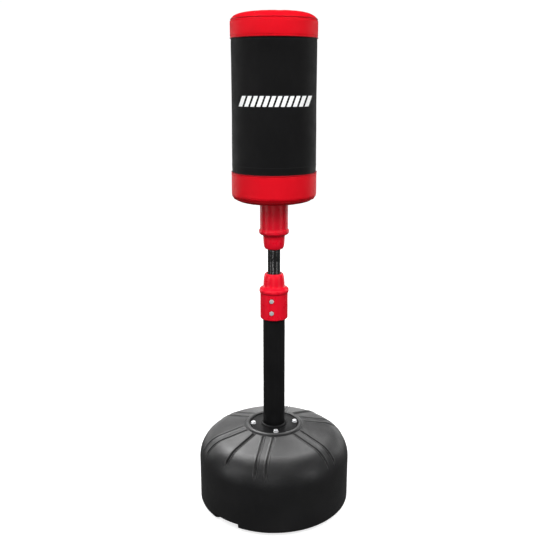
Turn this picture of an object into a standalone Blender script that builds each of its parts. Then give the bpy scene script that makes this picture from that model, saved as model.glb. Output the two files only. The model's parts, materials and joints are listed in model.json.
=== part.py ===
"""Free-standing punching bag: a ballast base, a telescoping column and a padded bag on a spring neck.

Metres, +Z up. The origin is on the floor under the middle of the base, and the front faces -Y.
An azimuth is measured from the front towards the right (+X).
"""

import math

import bmesh
import bpy
from mathutils import Matrix, Vector

# Clearance between pieces that touch, and how far a cutter reaches past the wall that it cuts
GAP = 0.0003
REACH = 0.02

# Sides of the round pieces
BASE_SIDES = 48
ROUND_SIDES = 32
SMALL_SIDES = 16
DRILL_SIDES = 12

# Base
BASE_RADIUS = 0.250
BASE_WALL = 0.006
BASE_FOOT_RADII = (0.050, 0.022)
BASE_SHOULDER_RADII = (0.090, 0.0905)
BASE_SHOULDER_Z = 0.160
BASE_SLOPE = math.radians(14.0)
BEAD_RADII = (0.0808, 0.0825, 0.0925, 0.0955)
BEAD_TOP_Z = 0.2752
BEAD_STEP = 0.002
SEAT_Z = 0.2640
SAND_LEVEL_Z = 0.135
RECESS_AZIMUTHS = (-39.0, 141.0)
RECESS_SIZE = (0.098, 0.056, 0.027)
RECESS_INNER_RADIUS = 0.214
GROOVE_SIZE = (0.0030, 0.0018)
GROOVE_SPACING = 0.033
PAIR_AZIMUTHS = (-10.5, 49.5, 109.5, 169.5, 229.5, 289.5)
PAIR_END_RADIUS = 0.240
SINGLE_AZIMUTHS = (-40.5, 139.5)
SINGLE_END_RADIUS = 0.236

# Fill opening, at the back of the base and square to its slope
FILL_RADIUS = 0.150
FILL_BORE_R = 0.0220
FILL_BOSS_R = 0.0300
FILL_BOSS_TOP = 0.0040
FILL_SEAL_THICK = 0.0018
CAP_PLUG_DEPTH = 0.0100
CAP_BRIM_THICK = 0.0060
CAP_GRIP_SIZE = (0.044, 0.009, 0.012)
THREAD_CLEARANCE = 0.0008

# Column flange and its bolts
GASKET_THICK = 0.0018
GASKET_BORE_R = 0.030
PLATE_THICK = 0.0050
PLATE_RADIUS = 0.0785
PLATE_CHAMFER = 0.001
WELD_SIZE = 0.005
SPIGOT_HEIGHT = 0.060
SPIGOT_WALL = 0.004
FLANGE_BOLT_CIRCLE = 0.0693
FLANGE_BOLT_AZIMUTHS = (5.0, 95.0, 185.0, 275.0)

# M8 fasteners
BOLT_SHANK_R = 0.0038
BOLT_HOLE_R = 0.0043
BOLT_ACROSS_FLATS = 0.0130
BOLT_HEAD_H = 0.0053
WASHER_RADIUS = 0.0085
WASHER_THICK = 0.0015
NUT_THICK = 0.0065
NUT_INSET = 0.0012
BOLT_CHAMFER = 0.0008
BOLT_POINT = 0.001
BOLT_PAST_NUT = 0.003

# Column and the pole that slides in it
COLUMN_RADIUS = 0.0355
COLUMN_BORE_R = 0.0335
COLUMN_TOP_Z = 0.7355
POLE_RADIUS = 0.0206
POLE_BORE_R = 0.0186
POLE_BOTTOM_Z = 0.345
FOOT_BUSH_LENGTH = 0.040
FOOT_PLUG_BELOW = 0.006
FOOT_PLUG_INSIDE = 0.020
LOWER_SEAT_LENGTH = 0.045
CLAMP_BUSH_LENGTH = 0.090
CLAMP_BUSH_SLIT = 0.003

# Collar moulding, used below the spring neck and, turned over, above it
LOWER_RIM_Z = 0.7915
UPPER_RIM_Z = 0.8720
LOWER_COLLAR_LENGTH = 0.148
UPPER_COLLAR_LENGTH = 0.157
COLLAR_STEP = 0.0548
COLLAR_BODY_R = 0.0444
COLLAR_LIP_R = 0.0475
COLLAR_NECK = ((0.0262, 0.0), (0.0285, 0.0012), (0.0315, 0.0070), (0.0335, 0.0180), (0.0345, 0.0400),
               (0.0372, 0.0445))
COLLAR_LIP_DEPTHS = (0.0510, 0.0535, 0.0590, 0.0640)
COLLAR_FUNNEL = (0.0040, 0.0060)
COLLAR_BOLT_DEPTHS = (0.0830, 0.1227)
COLLAR_BOLT_AZIMUTHS = (-10.0, 190.0)
COUNTERBORE_R = 0.0095
COUNTERBORE_DEPTH = 0.0038

# Spring neck
FORE_AFT_PIVOT_Z = 0.811
SIDEWAYS_PIVOT_Z = 0.848
BOOT_BORE_R = 0.0166
BOOT_TOP_Z = 0.9065
SPRING_RADIUS = 0.0125
SPRING_WIRE_R = 0.0026
SPRING_TURNS = 9
SPRING_STEPS = 12
SPRING_SIDES = 5
SPRING_STUB_R = 0.0085
STUB_LENGTH = 0.015
UPPER_SEAT_LENGTH = 0.016

# Bag
BAG_BOTTOM_Z = 1.0227
BAG_TOP_Z = 1.5736
BAG_RADIUS = 0.1282
CAP_RADIUS = 0.1300
COVER_THICK = 0.0028
LOWER_SEAM_Z = 1.115
UPPER_SEAM_Z = 1.5036
BAG_TOP_EDGE = (0.0283, 0.0281)
BAG_BOTTOM_EDGE = (0.0408, 0.0259)
CORE_TOP_Z = 1.5500
END_PLATE_THICK = 0.012
END_PLATE_RADIUS = 0.108
BOTTOM_PLATE_Z = 1.0345


def clear_scene():
    for obj in list(bpy.data.objects):
        bpy.data.objects.remove(obj, do_unlink=True)


def make_material(name, colour, roughness, metallic=0.0):
    material = bpy.data.materials.new(name)
    material.use_nodes = True
    shader = material.node_tree.nodes["Principled BSDF"]
    shader.inputs["Base Color"].default_value = (*colour, 1.0)
    shader.inputs["Roughness"].default_value = roughness
    shader.inputs["Metallic"].default_value = metallic
    material.diffuse_color = (*colour, 1.0)
    return material


def make_materials():
    return {
        "base": make_material("base_plastic", (0.022, 0.022, 0.024), 0.38),
        "sand": make_material("sand", (0.50, 0.40, 0.27), 0.95),
        "steel": make_material("black_steel", (0.012, 0.012, 0.013), 0.30, 0.6),
        "zinc": make_material("zinc", (0.62, 0.63, 0.65), 0.28, 1.0),
        "spring": make_material("spring_steel", (0.32, 0.32, 0.33), 0.35, 1.0),
        "rubber": make_material("black_rubber", (0.015, 0.015, 0.016), 0.55),
        "red": make_material("red_plastic", (0.80, 0.010, 0.020), 0.30),
        "nylon": make_material("white_nylon", (0.75, 0.74, 0.70), 0.45),
        "foam": make_material("foam", (0.55, 0.56, 0.60), 0.95),
        "board": make_material("plywood", (0.45, 0.30, 0.17), 0.70),
        "black_vinyl": make_material("black_vinyl", (0.014, 0.014, 0.015), 0.50),
        "red_vinyl": make_material("red_vinyl", (0.76, 0.007, 0.014), 0.40),
    }


def new_object(name, mesh, material=None):
    obj = bpy.data.objects.new(name, mesh)
    bpy.context.scene.collection.objects.link(obj)
    if material and not mesh.materials:
        mesh.materials.append(material)
    return obj


def mesh_from(name, bm):
    bmesh.ops.recalc_face_normals(bm, faces=bm.faces)
    mesh = bpy.data.meshes.new(name)
    bm.to_mesh(mesh)
    bm.free()
    mesh.shade_smooth()
    mesh.set_sharp_from_angle(angle=math.radians(35))
    return mesh


def turned_mesh(name, outline, segments):
    """Turns an outline of (radius, height) points about Z; one that starts on the axis also ends on it."""
    bm = bmesh.new()
    verts = [bm.verts.new((radius, 0.0, height)) for radius, height in outline]
    edges = [bm.edges.new(pair) for pair in zip(verts, verts[1:])]
    if outline[0][0] > 0.0:
        edges.append(bm.edges.new((verts[-1], verts[0])))
    bmesh.ops.spin(bm, geom=verts + edges, axis=(0, 0, 1), cent=(0, 0, 0), angle=math.tau, steps=segments,
                   use_merge=True)
    bmesh.ops.remove_doubles(bm, verts=bm.verts, dist=1e-6)
    return mesh_from(name, bm)


def turned(name, outline, material, segments=ROUND_SIDES):
    return new_object(name, turned_mesh(name, outline, segments), material)


def tube(name, inner, outer, bottom, top, material, segments=ROUND_SIDES):
    outline = [(inner, bottom), (outer, bottom), (outer, top), (inner, top)]
    return turned(name, outline, material, segments)


def as_cutter(obj):
    obj.hide_render = True
    obj.display_type = "WIRE"
    return obj


def rod_cutter(name, radius, bottom, top, matrix, segments=DRILL_SIDES):
    obj = turned(name, [(0, bottom), (radius, bottom), (radius, top), (0, top)], None, segments)
    obj.matrix_world = matrix
    return as_cutter(obj)


def box_cutter(name, size, matrix):
    bm = bmesh.new()
    bmesh.ops.create_cube(bm, size=1.0, matrix=Matrix.Diagonal((*size, 1.0)))
    obj = new_object(name, mesh_from(name, bm))
    obj.matrix_world = matrix
    return as_cutter(obj)


def combine(obj, other, operation="DIFFERENCE"):
    modifier = obj.modifiers.new(f"{operation}_{other.name}".lower(), "BOOLEAN")
    modifier.operation = operation
    modifier.solver = "EXACT"
    modifier.object = other


def arc(centre, radii, start, end, steps):
    """Points of an elliptical arc from start to end, in degrees."""
    points = []
    for step in range(steps + 1):
        angle = math.radians(start + (end - start) * step / steps)
        points.append((centre[0] + radii[0] * math.cos(angle), centre[1] + radii[1] * math.sin(angle)))
    return points


def around(azimuth, radius, height=0.0):
    """A point at an azimuth, in degrees, and a distance from the Z axis."""
    angle = math.radians(azimuth)
    return Vector((radius * math.sin(angle), -radius * math.cos(angle), height))


def facing(azimuth, radius, height):
    """A frame at such a point whose Z axis runs outwards, level."""
    turn = Matrix.Rotation(math.radians(azimuth), 4, "Z") @ Matrix.Rotation(math.radians(90), 4, "X")
    return Matrix.Translation(around(azimuth, radius, height)) @ turn


# --- Base -------------------------------------------------------------------------------------------


def slope_z(radius):
    """Height of the sloping top of the base."""
    turn_off = math.atan2(BASE_SHOULDER_RADII[1], BASE_SHOULDER_RADII[0] * math.tan(BASE_SLOPE))
    edge_r = BASE_RADIUS - BASE_SHOULDER_RADII[0] * (1 - math.cos(turn_off))
    edge_z = BASE_SHOULDER_Z + BASE_SHOULDER_RADII[1] * math.sin(turn_off)
    return edge_z + (edge_r - radius) * math.tan(BASE_SLOPE)


def base_top_z(radius):
    """Height of the top of the base at a radius: the slope, then the shoulder."""
    past = max(radius - (BASE_RADIUS - BASE_SHOULDER_RADII[0]), 0.0) / BASE_SHOULDER_RADII[0]
    return min(slope_z(radius), BASE_SHOULDER_Z + BASE_SHOULDER_RADII[1] * math.sqrt(1 - past ** 2))


def base_side(inset, foot_steps, shoulder_steps):
    """The foot and shoulder of the base, bottom to top, moved in by inset."""
    foot = [radius - inset for radius in BASE_FOOT_RADII]
    shoulder = [radius - inset for radius in BASE_SHOULDER_RADII]
    turn_off = math.degrees(math.atan2(shoulder[1], shoulder[0] * math.tan(BASE_SLOPE)))
    points = arc((BASE_RADIUS - BASE_FOOT_RADII[0], BASE_FOOT_RADII[1]), foot, -90, 0, foot_steps)
    centre = (BASE_RADIUS - BASE_SHOULDER_RADII[0], BASE_SHOULDER_Z)
    return points + arc(centre, shoulder, 0, turn_off, shoulder_steps)


def recess_cutters(name, margin):
    """Boxes for the two recesses under the rim, grown by margin."""
    cutters = []
    width, depth, height = RECESS_SIZE
    for number, azimuth in enumerate(RECESS_AZIMUTHS, 1):
        size = (width + 2 * margin, depth + margin, height + margin + REACH)
        centre = around(azimuth, RECESS_INNER_RADIUS + (depth - margin) / 2, (height + margin - REACH) / 2)
        turn = Matrix.Rotation(math.radians(azimuth), 4, "Z")
        cutters.append(box_cutter(f"{name}_{number}", size, Matrix.Translation(centre) @ turn))
    return cutters


def cavity_outline():
    inner_seat_z = SEAT_Z - BASE_WALL
    slope_foot = BEAD_RADII[3] + BASE_WALL
    top = [(slope_foot, slope_z(slope_foot) - BASE_WALL / math.cos(BASE_SLOPE))]
    top += [(BEAD_RADII[3], inner_seat_z), (0, inner_seat_z)]
    return [(0, BASE_WALL)] + base_side(BASE_WALL, 2, 4) + top


def fill_frame():
    """The frame of the fill opening, on the slope of the base with Z square to it."""
    place = Matrix.Translation((0, FILL_RADIUS, slope_z(FILL_RADIUS)))
    return place @ Matrix.Rotation(-BASE_SLOPE, 4, "X")


def groove_cutter(name, azimuth, offset, end_radius):
    """A cutter that follows the top of the base outwards, offset sideways from its azimuth."""
    width, depth = GROOVE_SIZE
    start = BEAD_RADII[3] + width
    shoulder = BASE_RADIUS - BASE_SHOULDER_RADII[0]
    stations = [start] + [shoulder + (end_radius - shoulder) * step / 6 for step in range(7)]
    floor = [(station, base_top_z(math.hypot(station, offset)) - depth) for station in stations]
    outline = floor + [(end_radius, BEAD_TOP_Z + REACH), (start, BEAD_TOP_Z + REACH)]
    bm = bmesh.new()
    sides = [[bm.verts.new((offset + side, -station, height)) for station, height in outline]
             for side in (-width / 2, width / 2)]
    join_rings(bm, sides[0], sides[1])
    for ring in sides:
        bm.faces.new(ring)
    obj = new_object(name, mesh_from(name, bm))
    obj.matrix_world = Matrix.Rotation(math.radians(azimuth), 4, "Z")
    return as_cutter(obj)


def groove_cutters():
    """Six pairs of moulded grooves down the top of the base, and a single one over each recess."""
    offset = GROOVE_SPACING / 2
    lines = [(azimuth, side * offset, PAIR_END_RADIUS) for azimuth in PAIR_AZIMUTHS for side in (-1, 1)]
    lines += [(azimuth, 0.0, SINGLE_END_RADIUS) for azimuth in SINGLE_AZIMUTHS]
    return [groove_cutter(f"groove_{number}", *line) for number, line in enumerate(lines, 1)]


def make_base_shell(materials):
    bead = [(BEAD_RADII[3], slope_z(BEAD_RADII[3])), (BEAD_RADII[2], BEAD_TOP_Z), (BEAD_RADII[1], BEAD_TOP_Z)]
    seat = [(BEAD_RADII[0], BEAD_TOP_Z - BEAD_STEP), (BEAD_RADII[0], SEAT_Z), (0, SEAT_Z)]
    shell = turned("base_shell", [(0, 0)] + base_side(0, 4, 8) + bead + seat, materials["base"], BASE_SIDES)
    boss = rod_cutter("fill_boss", FILL_BOSS_R, -0.5 * BASE_WALL, FILL_BOSS_TOP, fill_frame(), SMALL_SIDES)
    combine(shell, boss, "UNION")
    cavity = as_cutter(turned("base_cavity", cavity_outline(), None, BASE_SIDES))
    for cutter in recess_cutters("recess_wall", BASE_WALL):
        combine(cavity, cutter)
    combine(shell, cavity)
    for cutter in recess_cutters("recess", 0.0) + groove_cutters():
        combine(shell, cutter)
    combine(shell, rod_cutter("fill_bore", FILL_BORE_R, -REACH, REACH, fill_frame(), SMALL_SIDES))
    return shell


def make_sand(materials):
    side = [point for point in base_side(BASE_WALL + GAP, 2, 4) if point[1] < SAND_LEVEL_Z]
    outline = [(0, BASE_WALL + GAP)] + side + [(side[-1][0], SAND_LEVEL_Z), (0, SAND_LEVEL_Z)]
    sand = turned("sand_ballast", outline, materials["sand"], BASE_SIDES)
    for cutter in recess_cutters("sand_recess", BASE_WALL + GAP):
        combine(sand, cutter)
    return sand


def make_fill_seal(materials):
    bottom = FILL_BOSS_TOP + GAP
    seal = tube("fill_cap_seal", FILL_BORE_R + THREAD_CLEARANCE, FILL_BOSS_R - FILL_SEAL_THICK, bottom,
                bottom + FILL_SEAL_THICK,
                materials["rubber"], SMALL_SIDES)
    seal.matrix_world = fill_frame()
    return seal


def make_fill_cap(materials):
    under = FILL_BOSS_TOP + 2 * GAP + FILL_SEAL_THICK
    top = under + CAP_BRIM_THICK
    plug_r = FILL_BORE_R - THREAD_CLEARANCE
    brim_r = FILL_BOSS_R + PLATE_CHAMFER
    chamfer = 2 * PLATE_CHAMFER
    outline = [(0, -CAP_PLUG_DEPTH), (plug_r - chamfer, -CAP_PLUG_DEPTH), (plug_r, chamfer - CAP_PLUG_DEPTH)]
    outline += [(plug_r, under), (brim_r, under), (brim_r, top - chamfer), (brim_r - chamfer, top), (0, top)]
    cap = turned("fill_cap", outline, materials["base"], SMALL_SIDES)
    grip_place = fill_frame() @ Matrix.Translation((0, 0, top + CAP_GRIP_SIZE[2] / 3))
    grip = box_cutter("fill_cap_grip", CAP_GRIP_SIZE, grip_place)
    cap.matrix_world = fill_frame()
    combine(cap, grip, "UNION")
    return cap


# --- Fasteners --------------------------------------------------------------------------------------


def ring_of(bm, radius, height, count, turn=0.0):
    verts = []
    for step in range(count):
        angle = turn + math.tau * step / count
        verts.append(bm.verts.new((radius * math.cos(angle), radius * math.sin(angle), height)))
    for first, second in zip(verts, verts[1:] + verts[:1]):
        bm.edges.new((first, second))
    return verts


def join_rings(bm, lower, upper):
    for step, first in enumerate(lower):
        following = (step + 1) % len(lower)
        bm.faces.new((first, lower[following], upper[following], upper[step]))


def hex_bolt_mesh(name, length):
    """A hexagon bolt with its head above Z = 0 and its shank below."""
    corner_r = BOLT_ACROSS_FLATS / math.sqrt(3)
    bm = bmesh.new()
    under = ring_of(bm, corner_r, 0.0, 12)
    side = ring_of(bm, corner_r, BOLT_HEAD_H - BOLT_CHAMFER, 12)
    for ring in (under, side):
        for vert in ring[1::2]:
            vert.co.xy *= math.cos(math.pi / 6)
    top = ring_of(bm, BOLT_ACROSS_FLATS / 2 - BOLT_CHAMFER / 2, BOLT_HEAD_H, 12)
    neck = ring_of(bm, BOLT_SHANK_R, 0.0, 12)
    tip = ring_of(bm, BOLT_SHANK_R, BOLT_POINT - length, 12)
    point = ring_of(bm, BOLT_SHANK_R - BOLT_POINT, -length, 12)
    for lower, upper in ((side, under), (top, side), (under, neck), (neck, tip), (tip, point)):
        join_rings(bm, lower, upper)
    bm.faces.new(top)
    bm.faces.new(point)
    return mesh_from(name, bm)


def hex_nut_mesh(name, bore_r):
    """A hexagon nut standing on Z = 0."""
    corner_r = BOLT_ACROSS_FLATS / math.sqrt(3)
    bm = bmesh.new()
    rings = []
    for radius, height in ((corner_r, 0.0), (corner_r, NUT_THICK), (bore_r, NUT_THICK), (bore_r, 0.0)):
        rings.append(ring_of(bm, radius, height, 12))
    for ring in rings[:2]:
        for vert in ring[1::2]:
            vert.co.xy *= math.cos(math.pi / 6)
    for lower, upper in zip(rings, rings[1:] + rings[:1]):
        join_rings(bm, lower, upper)
    return mesh_from(name, bm)


def place_copies(stem, mesh, material, frames):
    pieces = []
    for number, frame in enumerate(frames, 1):
        piece = new_object(f"{stem}_{number}", mesh, material)
        piece.matrix_world = frame
        pieces.append(piece)
    return pieces


# --- Flange and column ------------------------------------------------------------------------------


def plate_top_z():
    return SEAT_Z + 2 * GAP + GASKET_THICK + PLATE_THICK


def make_flange(materials):
    top = plate_top_z()
    bottom = top - PLATE_THICK
    spigot_r = COLUMN_BORE_R - GAP
    socket_r = COLUMN_RADIUS + GAP
    gasket = tube("flange_gasket", GASKET_BORE_R, PLATE_RADIUS, SEAT_Z + GAP, SEAT_Z + GAP + GASKET_THICK,
                  materials["rubber"])
    plate = [(spigot_r - SPIGOT_WALL, bottom), (PLATE_RADIUS, bottom), (PLATE_RADIUS, top - PLATE_CHAMFER)]
    plate += [(PLATE_RADIUS - PLATE_CHAMFER, top), (COLUMN_RADIUS + WELD_SIZE + PLATE_CHAMFER, top)]
    plate += [(COLUMN_RADIUS + WELD_SIZE / 2, top + WELD_SIZE), (socket_r, top + WELD_SIZE), (socket_r, top)]
    plate += [(spigot_r - SPIGOT_WALL, top)]
    spigot = tube("column_spigot", spigot_r - SPIGOT_WALL, spigot_r, top + GAP, top + SPIGOT_HEIGHT,
                  materials["steel"])
    return [gasket, turned("base_flange", plate, materials["steel"])], spigot


def make_flange_fasteners(materials, drilled):
    """Four bolts with washers, held by captive nuts under the shell; drills every piece in drilled."""
    top = plate_top_z()
    spots = [around(azimuth, FLANGE_BOLT_CIRCLE) for azimuth in FLANGE_BOLT_AZIMUTHS]
    for number, spot in enumerate(spots, 1):
        drill = rod_cutter(f"flange_drill_{number}", BOLT_HOLE_R, SEAT_Z - REACH, top + REACH,
                           Matrix.Translation(spot))
        for obj in drilled:
            combine(obj, drill)
    washer_outline = [(BOLT_HOLE_R, 0), (WASHER_RADIUS, 0), (WASHER_RADIUS, WASHER_THICK)]
    washer = turned_mesh("flange_washer", washer_outline + [(BOLT_HOLE_R, WASHER_THICK)], SMALL_SIDES)
    head_z = top + 2 * GAP + WASHER_THICK
    nut_z = SEAT_Z - BASE_WALL - GAP - NUT_THICK
    bolt = hex_bolt_mesh("flange_bolt", head_z - nut_z + BOLT_PAST_NUT)
    nut = hex_nut_mesh("flange_nut", BOLT_SHANK_R + GAP)
    zinc = materials["zinc"]
    pieces = []
    for stem, mesh, height in (("flange_washer", washer, top + GAP), ("flange_bolt", bolt, head_z),
                               ("flange_nut", nut, nut_z)):
        frames = [Matrix.Translation((spot.x, spot.y, height)) for spot in spots]
        pieces += place_copies(stem, mesh, zinc, frames)
    return pieces


def make_column(materials):
    return tube("column_tube", COLUMN_BORE_R, COLUMN_RADIUS, plate_top_z() + GAP, COLUMN_TOP_Z,
                materials["steel"])


def make_clamp_bush(materials):
    """Split bush that the collar bolts squeeze on to the pole."""
    top = COLUMN_TOP_Z - GAP
    bottom = top - CLAMP_BUSH_LENGTH
    bush = tube("clamp_bush", POLE_RADIUS + GAP, COLUMN_BORE_R - GAP, bottom, top, materials["nylon"])
    middle = around(90, (POLE_RADIUS + COLUMN_BORE_R) / 2, (bottom + top) / 2)
    size = (COLUMN_BORE_R - POLE_RADIUS + REACH, CLAMP_BUSH_SLIT, CLAMP_BUSH_LENGTH + REACH)
    combine(bush, box_cutter("bush_slit", size, Matrix.Translation(middle)))
    return bush


# --- Collars ----------------------------------------------------------------------------------------


def collar_outline(rim_z, way, length):
    """The collar's outline, from its neck's rim towards its open end; way is -1 downwards, +1 upwards."""
    lip_start, lip_top, lip_end, body_start = COLLAR_LIP_DEPTHS
    points = list(COLLAR_NECK)
    points += [(COLLAR_LIP_R - 0.0018, lip_start), (COLLAR_LIP_R, lip_top), (COLLAR_LIP_R, lip_end)]
    points += [(COLLAR_BODY_R, body_start), (COLLAR_BODY_R, length - 0.0040)]
    points += [(COLLAR_BODY_R - 0.0025, length)]
    socket_r = COLUMN_RADIUS + GAP
    throat_r = POLE_RADIUS + GAP
    points += [(socket_r, length), (socket_r, COLLAR_STEP), (throat_r, COLLAR_STEP)]
    points += [(throat_r, COLLAR_FUNNEL[1]), (throat_r + COLLAR_FUNNEL[0], 0.0)]
    return [(radius, rim_z + way * depth) for radius, depth in points]


def make_collar(name, outline, heights, azimuth, materials, drilled):
    """A collar with two sunk bolts and their nuts; drills the collar and the pieces in drilled."""
    collar = turned(name, outline, materials["red"])
    seat_r = COLLAR_BODY_R - COUNTERBORE_DEPTH
    head_r = seat_r + GAP
    nut_r = COLUMN_BORE_R - NUT_INSET - NUT_THICK
    bolt = hex_bolt_mesh(f"{name}_bolt", head_r - nut_r)
    nut = hex_nut_mesh(f"{name}_nut", BOLT_SHANK_R + GAP)
    for number, height in enumerate(heights, 1):
        drill = rod_cutter(f"{name}_drill_{number}", BOLT_HOLE_R, POLE_RADIUS + NUT_INSET,
                           COLUMN_RADIUS + REACH, facing(azimuth, 0.0, height))
        for obj in [collar] + drilled:
            combine(obj, drill)
        counterbore = rod_cutter(f"{name}_counterbore_{number}", COUNTERBORE_R, seat_r,
                                 COLLAR_BODY_R + REACH, facing(azimuth, 0.0, height))
        combine(collar, counterbore)
    pieces = [collar]
    pieces += place_copies(f"{name}_bolt", bolt, materials["zinc"],
                           [facing(azimuth, head_r, height) for height in heights])
    pieces += place_copies(f"{name}_nut", nut, materials["zinc"],
                           [facing(azimuth, nut_r, height) for height in heights])
    return pieces


def cut_nut_pockets(bush, azimuth):
    """Pockets in the clamp bush for the lower collar's nuts."""
    corner_r = BOLT_ACROSS_FLATS / math.sqrt(3) + 2 * GAP
    floor_r = COLUMN_BORE_R - NUT_INSET - NUT_THICK - GAP
    for number, depth in enumerate(COLLAR_BOLT_DEPTHS, 1):
        pocket = rod_cutter(f"nut_pocket_{number}", corner_r, floor_r, COLUMN_BORE_R + REACH,
                            facing(azimuth, 0.0, LOWER_RIM_Z - depth), 6)
        combine(bush, pocket)


# --- Sliding pole and spring neck -------------------------------------------------------------------


def make_pole(materials):
    plug_r = POLE_BORE_R - GAP
    top = LOWER_RIM_Z - 0.001
    pole = tube("inner_pole", POLE_BORE_R, POLE_RADIUS, POLE_BOTTOM_Z, top, materials["steel"])
    plug_bottom = POLE_BOTTOM_Z - FOOT_PLUG_BELOW
    plug_top = POLE_BOTTOM_Z + FOOT_PLUG_INSIDE
    plug = [(0, plug_bottom), (POLE_RADIUS, plug_bottom), (POLE_RADIUS, POLE_BOTTOM_Z - GAP)]
    plug += [(plug_r, POLE_BOTTOM_Z - GAP), (plug_r, plug_top), (0, plug_top)]
    foot = turned("pole_foot_plug", plug, materials["rubber"], SMALL_SIDES)
    bush = tube("foot_bush", POLE_RADIUS + GAP, COLUMN_BORE_R - GAP, POLE_BOTTOM_Z,
                POLE_BOTTOM_Z + FOOT_BUSH_LENGTH, materials["nylon"])
    seat_bottom = top - LOWER_SEAT_LENGTH
    seat = [(0, seat_bottom), (plug_r, seat_bottom), (plug_r, top), (SPRING_STUB_R, top)]
    seat += [(SPRING_STUB_R, top + STUB_LENGTH), (0, top + STUB_LENGTH)]
    return [pole, foot, bush, turned("lower_spring_seat", seat, materials["zinc"], SMALL_SIDES)]


def make_spring(materials):
    """The coil spring: a round wire along a helix."""
    bottom = LOWER_RIM_Z - 0.001 + GAP + SPRING_WIRE_R
    top = BOOT_TOP_Z - SPRING_WIRE_R
    steps = SPRING_STEPS * SPRING_TURNS
    bm = bmesh.new()
    previous = None
    for step in range(steps + 1):
        angle = math.tau * step / SPRING_STEPS
        outward = Vector((math.cos(angle), math.sin(angle), 0.0))
        centre = outward * SPRING_RADIUS + Vector((0, 0, bottom + (top - bottom) * step / steps))
        ring = []
        for side in range(SPRING_SIDES):
            turn = math.tau * side / SPRING_SIDES
            offset = outward * math.cos(turn) + Vector((0, 0, 1)) * math.sin(turn)
            ring.append(bm.verts.new(centre + offset * SPRING_WIRE_R))
        if previous:
            join_rings(bm, previous, ring)
        else:
            bm.faces.new(ring)
        previous = ring
    bm.faces.new(previous)
    return new_object("neck_spring", mesh_from("neck_spring", bm), materials["spring"])


def make_boot(materials):
    bottom = LOWER_RIM_Z - 0.001 + GAP
    return tube("neck_boot", BOOT_BORE_R, POLE_RADIUS, bottom, BOOT_TOP_Z, materials["rubber"])


def make_upper_seat(materials):
    neck_r = POLE_RADIUS - GAP
    shoulder_z = UPPER_RIM_Z + COLLAR_STEP + 2 * GAP
    stub_top = BOOT_TOP_Z + GAP
    plug_r = COLUMN_BORE_R - GAP
    stub_bottom = stub_top - STUB_LENGTH
    outline = [(0, stub_bottom), (SPRING_STUB_R, stub_bottom), (SPRING_STUB_R, stub_top), (neck_r, stub_top)]
    outline += [(neck_r, shoulder_z), (plug_r, shoulder_z), (plug_r, shoulder_z + UPPER_SEAT_LENGTH)]
    outline += [(0, shoulder_z + UPPER_SEAT_LENGTH)]
    return turned("upper_spring_seat", outline, materials["zinc"])


# --- Bag --------------------------------------------------------------------------------------------


def bag_radius(z, inset):
    """Radius of the caps' outline at a height, moved in by inset."""
    edge, rise = BAG_TOP_EDGE if z > UPPER_SEAM_Z else BAG_BOTTOM_EDGE
    centre_z = BAG_TOP_Z - rise if z > UPPER_SEAM_Z else BAG_BOTTOM_Z + rise
    past = z - centre_z if z > UPPER_SEAM_Z else centre_z - z
    straight = CAP_RADIUS - edge
    if past <= 0:
        return CAP_RADIUS - inset
    return straight + (edge - inset) * math.sqrt(1 - (past / (rise - inset)) ** 2)


def make_cap_top(materials):
    edge, rise = BAG_TOP_EDGE
    centre = (CAP_RADIUS - edge, BAG_TOP_Z - rise)
    outer = [(CAP_RADIUS, UPPER_SEAM_Z + GAP)] + arc(centre, (edge, rise), 0, 90, 5) + [(0, BAG_TOP_Z)]
    inner_edge = (edge - COVER_THICK, rise - COVER_THICK)
    inner = [(0, BAG_TOP_Z - COVER_THICK)] + arc(centre, inner_edge, 90, 0, 3)
    inner += [(CAP_RADIUS - COVER_THICK, UPPER_SEAM_Z + GAP)]
    return turned("bag_cap_top", outer + inner, materials["red_vinyl"])


def make_cap_bottom(materials):
    edge, rise = BAG_BOTTOM_EDGE
    hole_r = COLLAR_BODY_R + 0.0012
    centre = (CAP_RADIUS - edge, BAG_BOTTOM_Z + rise)
    outer = [(hole_r, BAG_BOTTOM_Z)] + arc(centre, (edge, rise), -90, 0, 5)
    outer += [(CAP_RADIUS, LOWER_SEAM_Z - GAP)]
    inner_edge = (edge - COVER_THICK, rise - COVER_THICK)
    inner = [(CAP_RADIUS - COVER_THICK, LOWER_SEAM_Z - GAP)] + arc(centre, inner_edge, 0, -90, 3)
    inner += [(hole_r, BAG_BOTTOM_Z + COVER_THICK)]
    return turned("bag_cap_bottom", outer + inner, materials["red_vinyl"])


def make_foam(materials):
    inset = COVER_THICK + GAP
    foam_r = BAG_RADIUS - COVER_THICK - GAP
    bottom = BOTTOM_PLATE_Z + END_PLATE_THICK + GAP
    core_r = COLUMN_RADIUS + GAP
    low_curve = [bottom + (BAG_BOTTOM_Z + BAG_BOTTOM_EDGE[1] - bottom) * step / 3 for step in range(3)]
    rise_start = BAG_TOP_Z - BAG_TOP_EDGE[1]
    high_curve = [rise_start + (CORE_TOP_Z - rise_start) * step / 2 for step in range(1, 3)]
    side = [(min(foam_r, bag_radius(z, inset)), z) for z in low_curve]
    side += [(foam_r, BAG_BOTTOM_Z + 0.035), (foam_r, rise_start)]
    side += [(min(foam_r, bag_radius(z, inset)), z) for z in high_curve]
    return turned("bag_foam", [(core_r, bottom)] + side + [(core_r, CORE_TOP_Z)], materials["foam"])


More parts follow.
